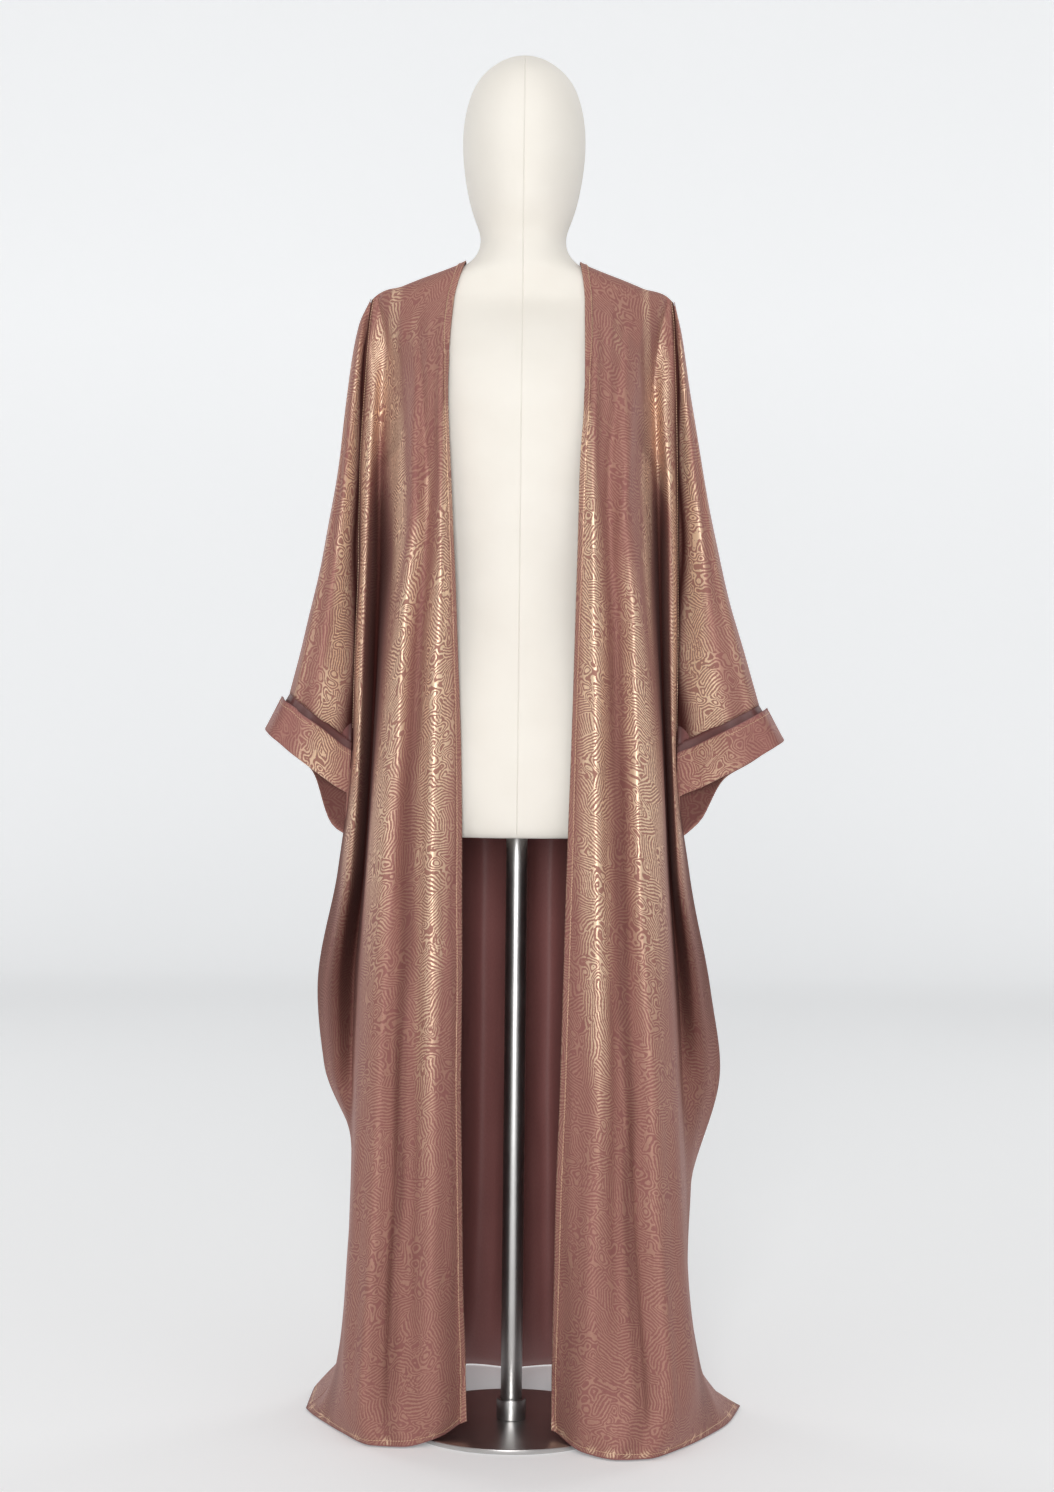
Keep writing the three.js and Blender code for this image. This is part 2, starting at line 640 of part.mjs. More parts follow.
// The narrow bands: a strip of the panel's own points beside its edge, moved out
function band(name, strip, normals) {
  const lift = CLOTH / 2 + TOUCH + BAND_CLOTH / 2;
  add(name, wall(movedOut(strip, normals, lift), normals, BAND_CLOTH), satin);
}
for (const side of [-1, 1]) {
  const { points, normals } = fronts[side];
  const strip = (rows) => rows.map((row) => [row[0], row[1]]);
  band(`edge_band_${sideName(side)}`, strip(points), strip(normals));
}
const atNeck = back[0].map((point, j) => j).filter((j) => Math.abs(back[0][j].x) < NECK_SIDE + 4);
const neckStrip = (rows) => [0, 1].map((i) => atNeck.map((j) => rows[i][j]));
band('neck_band', neckStrip(back), neckStrip(backNormals));

// The dress form: one smooth body from the head down, its sections rounded squares
const FORM_ROUND = 28;
const FORM_LEVELS = [FORM_BOTTOM, 747, 752, 765, 795, 830, 875, 920, 980, 1040, 1120, 1210, 1250, 1290,
  1320, 1350, 1375, 1395, 1406, 1414, 1421, 1428, 1436, 1446, 1455, 1463, 1470, 1484, 1500, 1514, 1532,
  1560, 1605, 1650, 1690, 1710, 1724, 1730, 1734];
function formBody() {
  const position = [];
  const index = [];
  const rings = FORM_LEVELS.length;
  for (const z of FORM_LEVELS) {
    const middle = formMiddle(z);
    for (let k = 0; k < FORM_ROUND; k += 1) {
      const angle = 2 * Math.PI * k / FORM_ROUND;
      const sine = Math.sin(angle);
      const reach = sine < 0 ? middle - form.front(z) : form.back(z) - middle;
      position.push(form.half(z) * Math.cos(angle), middle + reach * sine, z);
    }
  }
  const bottom = position.length / 3;
  position.push(0, formMiddle(FORM_BOTTOM), FORM_BOTTOM);
  position.push(0, formMiddle(FORM_TOP), FORM_TOP);
  for (let k = 0; k < FORM_ROUND; k += 1) {
    const next = (k + 1) % FORM_ROUND;
    for (let level = 0; level < rings - 1; level += 1) {
      const low = level * FORM_ROUND;
      const high = low + FORM_ROUND;
      index.push(low + k, low + next, high + next, low + k, high + next, high + k);
    }
    const top = (rings - 1) * FORM_ROUND;
    index.push(bottom, next, k, bottom + 1, top + k, top + next);
  }
  return facingOut(position, index);
}
add('form_body', formBody(), canvas);

// A turned piece from its outline of radius and height, on the upright axis
function turned(outline, segments) {
  const shape = new THREE.LatheGeometry(outline.map(([r, z]) => new THREE.Vector2(r, z)), segments);
  shape.rotateX(Math.PI / 2);
  shape.deleteAttribute('normal');
  shape.deleteAttribute('uv');
  return shape;
}
const footTop = FOOT_THICKNESS;
const collarTop = footTop + TOUCH + COLLAR_HEIGHT;
add('stand_base', turned([[0, 0], [FOOT_RADIUS - EDGE, 0], [FOOT_RADIUS, EDGE], [FOOT_RADIUS, footTop - EDGE],
  [FOOT_RADIUS - EDGE, footTop], [0, footTop]], 48), steel);
add('stand_collar', turned([[POST_RADIUS + TOUCH, footTop + TOUCH], [COLLAR_RADIUS, footTop + TOUCH],
  [COLLAR_RADIUS, collarTop - EDGE], [COLLAR_RADIUS - EDGE, collarTop], [POST_RADIUS + TOUCH, collarTop],
  [POST_RADIUS + TOUCH, footTop + TOUCH]], 32), steel);
add('stand_post', turned([[0, footTop + TOUCH], [POST_RADIUS, footTop + TOUCH],
  [POST_RADIUS, FORM_BOTTOM - TOUCH], [0, FORM_BOTTOM - TOUCH]], 32), steel);

export default abaya;
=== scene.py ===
# %% [markdown]
# This lesson dresses a imported model: an open-front abaya on a limbless dress form.
# The imported solids fix every size and place, so the frame is loaded first.

# %% Load the frame
import math

import bmesh
import bpy
import numpy as np
from mathutils import Matrix, Vector, noise
from mathutils.bvhtree import BVHTree


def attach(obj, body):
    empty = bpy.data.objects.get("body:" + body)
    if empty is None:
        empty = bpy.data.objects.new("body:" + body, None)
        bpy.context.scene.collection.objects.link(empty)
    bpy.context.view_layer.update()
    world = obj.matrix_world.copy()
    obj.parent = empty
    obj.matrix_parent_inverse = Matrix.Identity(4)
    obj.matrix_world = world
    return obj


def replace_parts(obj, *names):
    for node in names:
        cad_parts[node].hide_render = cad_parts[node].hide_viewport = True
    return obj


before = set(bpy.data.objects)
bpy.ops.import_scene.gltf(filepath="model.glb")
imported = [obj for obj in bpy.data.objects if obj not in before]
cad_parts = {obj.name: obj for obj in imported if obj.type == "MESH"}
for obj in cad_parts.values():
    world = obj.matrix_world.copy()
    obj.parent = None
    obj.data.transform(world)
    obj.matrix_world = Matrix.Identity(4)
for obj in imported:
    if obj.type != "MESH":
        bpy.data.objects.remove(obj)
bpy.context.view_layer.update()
MM = 0.001
print("solids in the frame:", sorted(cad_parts))

# %% [markdown]
# The camera comes before the cloth, so that each piece can be judged in the photograph's
# view. It stands 3 m away at the height of the wearer's hips and looks level, which keeps
# every upright line upright. The lens follows from the picture: 2400 pixels stand for the
# distance between lens and film on a picture 1492 pixels high.

# %% Camera
PICTURE_HEIGHT = 1492
FOCAL_PIXELS = 2400
CAMERA_DISTANCE = 3.05
CAMERA_HEIGHT = 0.86
CAMERA_SIDE = 0.0114
CAMERA_ROLL = math.radians(0.6)

camera_data = bpy.data.cameras.new("camera")
camera_data.sensor_fit = "VERTICAL"
camera_data.sensor_height = 36.0
camera_data.lens = camera_data.sensor_height * FOCAL_PIXELS / PICTURE_HEIGHT
camera = bpy.data.objects.new("camera", camera_data)
camera.matrix_world = (Matrix.Translation((CAMERA_SIDE, -CAMERA_DISTANCE, CAMERA_HEIGHT))
                       @ Matrix.Rotation(math.radians(90), 4, "X")
                       @ Matrix.Rotation(CAMERA_ROLL, 4, "Z"))
bpy.context.collection.objects.link(camera)
bpy.context.scene.camera = camera
print("lens in mm:", round(camera_data.lens, 1))

# %% [markdown]
# A material is a small network of nodes. Written as a formula it is easier to read, so a
# wrapper class holds a socket and turns + - * and / into Math nodes. One method makes any
# other node from its type, its settings and the values of its sockets.

# %% Shader formulas
class Socket:
    """An output socket that can be used in a formula."""

    def __init__(self, maker, socket):
        self.maker = maker
        self.socket = socket

    def __add__(self, other):
        return self.maker.maths("ADD", self, other)

    def __sub__(self, other):
        return self.maker.maths("SUBTRACT", self, other)

    def __rsub__(self, other):
        return self.maker.maths("SUBTRACT", other, self)

    def __mul__(self, other):
        return self.maker.maths("MULTIPLY", self, other)

    def __truediv__(self, other):
        return self.maker.maths("DIVIDE", self, other)

    __radd__ = __add__
    __rmul__ = __mul__


class Maker:
    """Makes the nodes of one material."""

    def __init__(self, name):
        self.material = bpy.data.materials.new(name)
        self.material.use_nodes = True
        self.tree = self.material.node_tree
        self.tree.nodes.clear()

    def node(self, kind, settings=None, output=0, **inputs):
        """One node; inputs are named by their socket, with _ for a space, or as iN."""
        made = self.tree.nodes.new(kind)
        for key, value in (settings or {}).items():
            setattr(made, key, value)
        for key, value in inputs.items():
            numbered = key[0] == "i" and key[1:].isdigit()
            socket = made.inputs[int(key[1:]) if numbered else key.replace("_", " ")]
            if isinstance(value, Socket):
                self.tree.links.new(value.socket, socket)
            else:
                socket.default_value = value
        return Socket(self, made.outputs[output]) if made.outputs else None

    def maths(self, operation, a, b=0.0):
        return self.node("ShaderNodeMath", {"operation": operation}, i0=a, i1=b)

    def ramp(self, value, stops):
        """Smooth steps from one level to another: stops are pairs of place and level."""
        made = self.tree.nodes.new("ShaderNodeValToRGB")
        made.color_ramp.interpolation = "EASE"
        while len(made.color_ramp.elements) < len(stops):
            made.color_ramp.elements.new(0.5)
        for element, (place, level) in zip(made.color_ramp.elements, stops):
            element.position = place
            element.color = (level, level, level, 1.0)
        self.tree.links.new(value.socket, made.inputs[0])
        return Socket(self, made.outputs[0])

    def blend(self, factor, a, b):
        """A colour between two, by a factor."""
        return self.node("ShaderNodeMix", {"data_type": "RGBA"}, output=2, i0=factor, i6=a, i7=b)

    def noise(self, vector, scale, detail=2.0, roughness=0.5, output=0):
        return self.node("ShaderNodeTexNoise", {"noise_dimensions": "3D"}, output=output,
                         Vector=vector, Scale=scale, Detail=detail, Roughness=roughness)

    def scaled(self, vector, scale):
        return self.node("ShaderNodeMapping", Vector=vector, Scale=scale)

    def finish(self, bump=None, strength=0.5, distance=0.001, **inputs):
        """The surface shader, with a bump if one is given."""
        if bump is not None:
            inputs["Normal"] = self.node("ShaderNodeBump", Strength=strength, Distance=distance,
                                         Height=bump)
        shader = self.node("ShaderNodeBsdfPrincipled", **inputs)
        self.node("ShaderNodeOutputMaterial", Surface=shader)
        return self.material


# %% [markdown]
# Satin with a figured gold weave is two cloths in one. The ground is dusty rose, soft and
# broad in its shine. The gold lies on it in short strokes, in patches that each run another
# way, with curls between them, like the lines of a fingertip. The strokes are metal, and
# where they light up is painted: a painted highlight brightens them on the folds that face
# the light and lets them nearly vanish elsewhere, and painted shade darkens the deep folds.
# They follow the cut cloth, so the pattern is read from the piece's UV map, which is in
# metres of cloth.

# %% Satin with a figured gold weave
STROKE_PERIOD = 3.7 * MM
PATCH = 24 * MM
ROSE_DARK = (0.196, 0.071, 0.066, 1)
ROSE_LIGHT = (0.318, 0.130, 0.121, 1)
# Painted highlight: the gold runs from a dim gold where the painted glint is low to a lit gold where it is
# full.
LIT_GOLD = (0.91, 0.685, 0.485, 1)
DIM_GOLD = (0.47, 0.265, 0.185, 1)
FOLD_SHADE = (0.036, 0.0065, 0.0055, 1)
SHINE_TINT = (0.85, 0.50, 0.45, 1)
SHEEN = dict(Sheen_Weight=0.10, Sheen_Roughness=0.4, Sheen_Tint=(0.75, 0.42, 0.38, 1))
MOTTLE, CLOUD, WEAVE, SWAY, HILLS, BREAKS, GLINT_STREAKS = (
    size * MM for size in (2.2, 90, 0.8, 26, 17, 3.2, 7))
BEND = 13 * MM
CURLS = 8.5


def attribute(m, name):
    return m.node("ShaderNodeAttribute", {"attribute_name": name}, output=2)


def satin(name, figured=True):
    """Rose satin; the gold figure is woven into its outer side only."""
    m = Maker(name)
    cloth = m.node("ShaderNodeUVMap", {"uv_map": "cut"})
    shade = attribute(m, "shade")
    mottle = m.noise(m.scaled(cloth, (1.0, 0.5, 1.0)), 1 / MOTTLE)
    cloud = m.noise(cloth, 1 / CLOUD)
    ground = m.blend(mottle * 0.55 + cloud * 0.45, ROSE_DARK, ROSE_LIGHT)
    weave = m.noise(m.scaled(cloth, (1.0, 0.35, 1.0)), 1 / WEAVE, detail=1.0)
    if not figured:
        return m.finish(bump=weave, strength=0.25, distance=0.0003,
                        Base_Color=m.blend(shade, ground, FOLD_SHADE), Roughness=0.55, **SHEEN)
    sway = m.noise(cloth, 1 / SWAY, detail=1.0, output=1)
    centred = m.node("ShaderNodeVectorMath", {"operation": "SUBTRACT"}, i0=sway, i1=(0.5, 0.5, 0.5))
    bent = m.node("ShaderNodeVectorMath", {"operation": "MULTIPLY_ADD"},
                  i0=centred, i1=(BEND,) * 3, i2=cloth)
    patch = m.node("ShaderNodeTexVoronoi", {"voronoi_dimensions": "2D"}, output=1,
                   Vector=bent, Scale=1 / PATCH)
    patch_value = m.node("ShaderNodeSeparateColor", i0=patch)
    angle = patch_value * (2 * math.pi)
    parts = m.node("ShaderNodeSeparateXYZ", i0=bent)
    up = Socket(m, parts.socket.node.outputs[1])
    across = parts * m.maths("COSINE", angle) + up * m.maths("SINE", angle)
    straight = m.maths("SINE", across * (2 * math.pi / STROKE_PERIOD))
    hills = m.noise(bent, 1 / HILLS, detail=0.0)
    curl = m.maths("SINE", hills * (2 * math.pi * CURLS))
    chosen = m.ramp(Socket(m, patch_value.socket.node.outputs[1]), [(0.55, 0.0), (0.65, 1.0)])
    line = straight + (curl - straight) * chosen
    broken = m.noise(cloth, 1 / BREAKS)
    stroke = m.ramp(line * 0.5 + 0.5 + (broken - 0.5) * 1.8, [(0.40, 0.0), (0.72, 1.0)])
    # Painted highlight: the painted glint attribute, broken into streaks, sets how brightly the gold is lit
    # and tints the ground.
    glint_streaks = m.noise(m.scaled(cloth, (1.0, 0.12, 1.0)), 1 / GLINT_STREAKS)
    lit = m.maths("MINIMUM", attribute(m, "painted_glint") * (0.62 + glint_streaks * 0.9), 1.0)
    foil = stroke * (lit * 0.85 + 0.05) * (1.0 - shade)
    gold = m.blend(lit, DIM_GOLD, LIT_GOLD)
    glint_warmed_ground = m.blend(lit * 0.48, ground, DIM_GOLD)
    colour = m.blend(stroke * (lit * 0.74 + 0.26), glint_warmed_ground, gold)
    height = stroke * 0.7 + weave * 0.3
    return m.finish(bump=height, strength=0.30, distance=0.0005,
                    Base_Color=m.blend(shade, colour, FOLD_SHADE),
                    Metallic=foil * 0.55, Roughness=0.54 - foil * 0.12 + shade * 0.36,
                    Specular_IOR_Level=0.35, Specular_Tint=SHINE_TINT, **SHEEN)


cloth_satin = satin("rose_gold_satin")
cloth_inside = satin("rose_satin_inside", figured=False)
print("stroke period in mm:", STROKE_PERIOD / MM)

# %% [markdown]
# The garment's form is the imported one, worked out again from the same sizes with more
# points. A short table gives where each fold lies at some heights. A curve through each
# column, flat at every high or low knot so that it never swings past one, fills in the rest.

# %% Curves and tables
def curve_through(at, values):
    """A curve through knots, as a function of a number or an array."""
    at = np.asarray(at, float)
    values = np.asarray(values, float)
    step = np.diff(at)
    slope = np.diff(values) / step
    tangent = np.zeros(len(at))
    tangent[0], tangent[-1] = slope[0], slope[-1]
    for k in range(1, len(at) - 1):
        if slope[k - 1] * slope[k] > 0:
            near = 2 * step[k] + step[k - 1]
            far = step[k] + 2 * step[k - 1]
            tangent[k] = (near + far) / (near / slope[k - 1] + far / slope[k])

    def curve(x):
        x = np.clip(x, at[0], at[-1])
        k = np.clip(np.searchsorted(at, x, side="right") - 1, 0, len(step) - 1)
        t = (x - at[k]) / step[k]
        return ((2 * t**3 - 3 * t**2 + 1) * values[k] + (t**3 - 2 * t**2 + t) * step[k] * tangent[k]
                + (3 * t**2 - 2 * t**3) * values[k + 1] + (t**3 - t**2) * step[k] * tangent[k + 1])
    return curve


def table(names, rows):
    """A curve for each named column, over the first column."""
    rows = sorted(rows)
    at = [row[0] for row in rows]
    return {name: curve_through(at, [row[k] for row in rows]) for k, name in enumerate(names.split())}


def lengths(points, axis=0):
    """Distance from its start along a path of points, or along each path of a grid."""
    steps = np.linalg.norm(np.diff(points, axis=axis), axis=-1)
    start = np.zeros_like(np.take(steps, [0], axis=axis))
    return np.concatenate([start, np.cumsum(steps, axis=axis)], axis=axis)


def mix(a, b, t):
    return a + (b - a) * t


def smooth(start, end, x):
    t = np.clip((x - start) / (end - start), 0.0, 1.0)
    return t * t * (3 - 2 * t)


# %% Sizes shared with the solids, in millimetres
CLOTH = 0.8
BAND_WIDTH = 10
SEAM = 0.5
ARMHOLE_TOP = 1423
ARMHOLE_FOOT = 846
NECKLINE = 1477
NECK_SIDE = 72
NECK_FOOT = 1500
SHOULDER_LOW = 1412
SHOULDER_HIGH = 1470
TABLE_TOP = 1440
SLEEVE_TOP = 1427
CUFF_DEPTH = 52
CUFF_RETURN = 44
CUFF_INNER = 212
CUFF_WIDTH = 85
ON_FORM = 3.0
OFF_FORM = 5
YOKE = 1300
HEM_ZONE = 120
HEM_LIFT = 2.2
SIDE_HEM_LIFT = 3
print("cloth in mm:", CLOTH)

# %% [markdown]
# First the dress form: half its width, and how far it reaches to the front and back, at
# each height. The cloth needs it, because it lies on the form's shoulders and chest.

# %% The form's sections
form = table("z half front back", [
    (745, 146, -88, 96),
    (752, 154, -96, 104),
    (765, 160, -101, 110),
    (830, 168, -106, 120),
    (920, 158, -103, 115),
    (1040, 124, -86, 90),
    (1120, 136, -96, 93),
    (1210, 150, -112, 97),
    (1290, 158, -106, 98),
    (1350, 166, -88, 94),
    (1395, 176, -60, 76),
    (1412, 181, -47, 60),
    (1421, 178, -42, 54),
    (1432, 165, -40, 53),
    (1446, 134, -42, 55),
    (1460, 96, -46, 59),
    (1470, 72, -48, 60),
    (1484, 58, -48, 58),
    (1500, 54, -50, 57),
    (1514, 56, -62, 60),
    (1532, 64, -84, 70),
    (1560, 72, -95, 84),
    (1605, 79, -98, 98),
    (1650, 79, -95, 101),
    (1690, 69, -80, 88),
    (1716, 49, -55, 62),
    (1730, 26, -28, 32),
    (1734, 12, -12, 16),
])


def form_middle(z):
    """The line down each side of the form, a little behind the middle."""
    return mix(2, 5, smooth(1300, 1425, z))


def form_reach(x, z, face, grow):
    """How far the form reaches forward (face -1) or back (1), grown by an amount."""
    half = form["half"](z - grow) + grow
    middle = form_middle(z)
    reach = (middle - form["front"](z - grow) if face < 0 else form["back"](z - grow) - middle) + grow
    share = 1 - (x / half) ** 2
    return np.where(share > 0, middle + face * reach * np.sqrt(np.maximum(share, 0)), np.nan)


def shoulder_height(x, grow):
    """Height of the shoulder line at a distance from the middle."""
    low, high = float(SHOULDER_LOW), float(NECK_FOOT)
    for _ in range(40):
        z = (low + high) / 2
        if form["half"](z - grow) + grow > x:
            low = z
        else:
            high = z
    return min(low, SHOULDER_HIGH + grow)


print("shoulder point height in mm:", round(shoulder_height(180, ON_FORM)))

# %% [markdown]
# Each front falls in the same folds from the shoulder to the floor: the free edge, a broad
# ridge, a soft valley, a second ridge, the turn where the front ends, a deep dark valley, a
# column and the side line. The tables give each fold's place across and its depth, for the
# wearer's right side and then the left, because the photograph's two sides differ.

# %% Folds of the fronts
FOLDS = "z edge broad soft second turn deep column side"
across_right = table(FOLDS, [
    (1440, 72, 90, 108, 127, 148, 168, 181, 192),
    (1395, 86, 100, 115, 131, 150, 171, 184, 198),
    (1300, 91, 100, 114, 129, 147, 177, 187, 203),
    (1200, 87, 97, 112, 128, 149, 179, 191, 205),
    (1100, 82, 96, 116, 133, 152, 179, 194, 205),
    (1000, 77, 99, 121, 140, 161, 181, 196, 208),
    (850, 70, 101, 127, 149, 173, 186, 200, 212),
    (700, 67, 101, 131, 157, 183, 194, 210, 228),
    (550, 66, 99, 132, 161, 190, 206, 226, 253),
    (450, 66, 99, 133, 164, 194, 207, 224, 244),
    (340, 64, 99, 135, 166, 197, 203, 207, 206),
    (200, 61, 98, 140, 170, 203, 208, 209, 203),
    (75, 56, 95, 144, 176, 210, 219, 222, 216),
    (24, 54, 93, 140, 174, 212, 229, 240, 240),
    (3, 52, 90, 132, 170, 210, 234, 254, 264),
])
across_left = table(FOLDS, [
    (1440, 72, 88, 106, 125, 147, 166, 180, 192),
    (1395, 78, 92, 110, 127, 147, 166, 181, 196),
    (1300, 78, 90, 108, 126, 147, 169, 181, 199),
    (1200, 74, 88, 107, 127, 149, 174, 186, 200),
    (1100, 72, 91, 112, 133, 155, 177, 189, 201),
    (1000, 70, 93, 119, 141, 164, 180, 191, 202),
    (850, 66, 94, 121, 147, 176, 187, 195, 202),
    (700, 62, 97, 126, 152, 184, 195, 205, 220),
    (550, 59, 102, 132, 160, 193, 208, 226, 249),
    (450, 57, 103, 133, 165, 199, 213, 234, 263),
    (300, 53, 101, 135, 170, 208, 217, 226, 228),
    (200, 52, 99, 140, 176, 214, 220, 222, 216),
    (75, 51, 94, 150, 184, 226, 236, 240, 236),
    (24, 50, 91, 140, 176, 218, 246, 262, 266),
    (3, 50, 88, 130, 166, 208, 248, 276, 297),
])
depth_right = table(FOLDS, [
    (1440, 0, 0, 0, 0, 0, 0, 0, 5),
    (1395, -40, -42, -38, -36, -26, -6, -4, 6),
    (1300, -96, -107, -96, -92, -62, -10, -20, 7),
    (1200, -108, -124, -107, -110, -76, -4, -32, 8),
    (1100, -107, -128, -105, -114, -80, 0, -36, 8),
    (1000, -104, -130, -104, -116, -82, 2, -36, 8),
    (850, -106, -132, -106, -118, -84, 4, -36, 8),
    (700, -108, -134, -108, -120, -84, 4, -34, 10),
    (550, -108, -136, -112, -124, -86, 2, -26, 16),
    (450, -106, -136, -114, -126, -88, -4, -14, 22),
    (340, -102, -136, -114, -126, -88, -24, 10, 40),
    (200, -94, -134, -112, -126, -86, -36, 12, 48),
    (75, -82, -124, -110, -124, -80, -34, 12, 50),
    (24, -74, -112, -114, -118, -70, -26, 14, 48),
    (3, -66, -98, -117, -112, -58, -16, 22, 46),
])
depth_left = table(FOLDS, [
    (1440, 0, 0, 0, 0, 0, 0, 0, 5),
    (1395, -40, -42, -38, -36, -26, -6, -4, 6),
    (1300, -96, -106, -94, -92, -64, -8, -20, 7),
    (1200, -110, -122, -106, -112, -78, -2, -32, 8),
    (1100, -110, -126, -104, -116, -82, 2, -36, 8),
    (1000, -108, -130, -104, -120, -84, 2, -36, 8),
    (850, -110, -134, -108, -124, -86, 4, -36, 8),
    (700, -112, -138, -112, -128, -88, 4, -32, 10),
    (550, -112, -142, -118, -134, -92, 0, -22, 18),
    (450, -110, -144, -122, -138, -94, -8, -10, 28),
    (300, -104, -146, -126, -142, -98, -34, 14, 46),
    (200, -98, -148, -130, -146, -100, -42, 14, 54),
    (75, -86, -148, -146, -156, -106, -48, 10, 60),
    (24, -78, -144, -158, -160, -110, -50, 6, 66),
    (3, -72, -138, -162, -156, -112, -52, 2, 76),
])
FRONT_FOLDS = FOLDS.split()[1:]
ACROSS = {-1: across_right, 1: across_left}
DEPTH = {-1: depth_right, 1: depth_left}
HEMS = {}
for side, edge, broad in ((-1, 26, 9), (1, 16, 4)):
    HEMS[side] = dict.fromkeys(FRONT_FOLDS, HEM_LIFT)
    HEMS[side].update(edge=edge, broad=broad, column=2.4, side=SIDE_HEM_LIFT)

# %% Folds of the back
back_across = table("z outer hollow blade trough inner middle", [
    (1440, 180, 156, 128, 98, 62, 0),
    (1395, 184, 160, 132, 100, 58, 0),
    (1300, 188, 164, 136, 100, 52, 0),
    (1000, 192, 164, 132, 94, 46, 0),
    (700, 208, 170, 132, 90, 44, 0),
    (450, 214, 174, 132, 88, 44, 0),
    (200, 200, 172, 134, 92, 46, 0),
    (75, 214, 182, 142, 98, 49, 0),
    (3, 262, 220, 170, 116, 58, 0),
])
back_depth = table("z outer hollow blade trough inner middle", [
    (1440, 5, 5, 5, 5, 5, 5),
    (1395, 30, 36, 52, 60, 80, 78),
    (1300, 44, 46, 92, 90, 112, 102),
    (1200, 50, 44, 106, 88, 122, 102),
    (1000, 56, 38, 116, 86, 132, 102),
    (700, 66, 40, 128, 92, 146, 110),
    (450, 78, 50, 138, 100, 158, 118),
    (200, 92, 72, 154, 122, 178, 140),
    (75, 112, 100, 176, 152, 206, 172),
    (24, 134, 134, 206, 190, 242, 214),
    (3, 152, 168, 236, 232, 282, 264),
])
BACK_FOLDS = ["outer", "hollow", "blade", "trough", "inner", "middle"]


# Half the armhole's width where it stands widest, and the heights over which it opens and closes
ARMHOLE_HALF = 24
ARMHOLE_OPENS = 70
ARMHOLE_CLOSES = 90


def armhole_open(z):
    """How wide the armhole stands open at a height, from 0 to 1."""
    below_top = smooth(ARMHOLE_TOP + 6, ARMHOLE_TOP - ARMHOLE_OPENS, z)
    return below_top * smooth(ARMHOLE_FOOT, ARMHOLE_FOOT + ARMHOLE_CLOSES, z)


def side_line(side, z, face):
    """Depth of the front or back panel at the line where it meets the other, or the sleeve."""
    return DEPTH[side]["side"](z) + face * (SEAM / 2 + armhole_open(z) * ARMHOLE_HALF)


print("folds of a front:", FRONT_FOLDS)

# %% [markdown]
# A panel's rows start at the shoulder line, close together where the cloth bends over it,
# and run down to the hem. Every row is a curve through the folds at its own level. Where a
# point would lie inside the form it is moved out to its surface, as the real cloth rests.

# %% Rows of a panel
YOKE_PART = 0.16
YOKE_CROWDING = 1.8
HEM_PART = 0.90
HEM_CROWDING = 1.35


def row_level(v, top, hem):
    """Height of a column at v, and the level at which its fold is read from the table."""
    if v < YOKE_PART:
        share = (v / YOKE_PART) ** YOKE_CROWDING
        return mix(top, YOKE, share), mix(TABLE_TOP, YOKE, share)
    if v < HEM_PART:
        z = mix(YOKE, HEM_ZONE, (v - YOKE_PART) / (HEM_PART - YOKE_PART))
        return z, z
    rest = 1 - (v - HEM_PART) / (1 - HEM_PART)
    z = mix(hem, HEM_ZONE, rest ** HEM_CROWDING)
    return z, z


def panel_row(side, face, v, places):
    """Points of a row of a front (face -1) or half a back (face 1), in millimetres."""
    columns = [ACROSS[side][fold] for fold in FRONT_FOLDS] if face < 0 else (
        [ACROSS[side]["side"]] + [back_across[fold] for fold in BACK_FOLDS])
    folds = FRONT_FOLDS if face < 0 else ["side"] + BACK_FOLDS
    knots = []
    for fold, column in zip(folds, columns):
        top_x = float(column(NECK_FOOT))
        top = shoulder_height(top_x, ON_FORM)
        if face > 0 and top_x < NECK_SIDE:
            top = min(top, NECKLINE)
        hem = HEMS[side][fold] if face < 0 else (SIDE_HEM_LIFT if fold == "side" else HEM_LIFT)
        z, level = row_level(v, top, hem)
        if fold == "side":
            y = side_line(side, z, face)
        else:
            y = (DEPTH[side] if face < 0 else back_depth)[fold](level)
        knots.append((float(column(level)), float(y), z))
    at = range(len(knots))
    x, y, z = (curve_through(at, [knot[k] for knot in knots])(places) for k in range(3))
    if v == 0:
        z = np.minimum(z, [shoulder_height(value, ON_FORM) for value in x])
    surface = form_reach(x, z, face, mix(OFF_FORM, ON_FORM, smooth(1330, 1420, z)))
    free = np.isnan(surface)
    outside = np.minimum(y, surface) if face < 0 else np.maximum(y, surface)
    y = np.where(free, y, outside)
    if v == 0:
        on_line = (x >= NECK_SIDE - 1) | (free & (z > 1400))
        y = np.where(on_line, form_middle(z) + face * SEAM / 2, y)
    return np.stack([side * x, y, z], axis=1)


HIP = 0.45
EVEN_IN_CLOTH = 0.7


def even_places(side, face, count, folds):
    """Places along a section: mostly even in cloth at the hip, and for the rest by fold number."""
    fine = np.linspace(0, folds - 1, 600)
    length = lengths(panel_row(side, face, HIP, fine))
    evenly = np.interp(np.linspace(0, length[-1], count), length, fine)
    return mix(np.linspace(0, folds - 1, count), evenly, EVEN_IN_CLOTH)


# %% Points of the panels
FRONT_COLUMNS = 96
PANEL_ROWS = 250
BACK_COLUMNS = 88


def front_points(side):
    places = even_places(side, -1, FRONT_COLUMNS, len(FRONT_FOLDS))
    return np.array([panel_row(side, -1, v, places) for v in np.linspace(0, 1, PANEL_ROWS)])


def back_points():
    halves = []
    for side in (-1, 1):
        places = even_places(side, 1, BACK_COLUMNS, len(BACK_FOLDS) + 1)
        halves.append(np.array([panel_row(side, 1, v, places) for v in np.linspace(0, 1, PANEL_ROWS)]))
    return np.concatenate([halves[0], halves[1][:, ::-1][:, 1:]], axis=1)


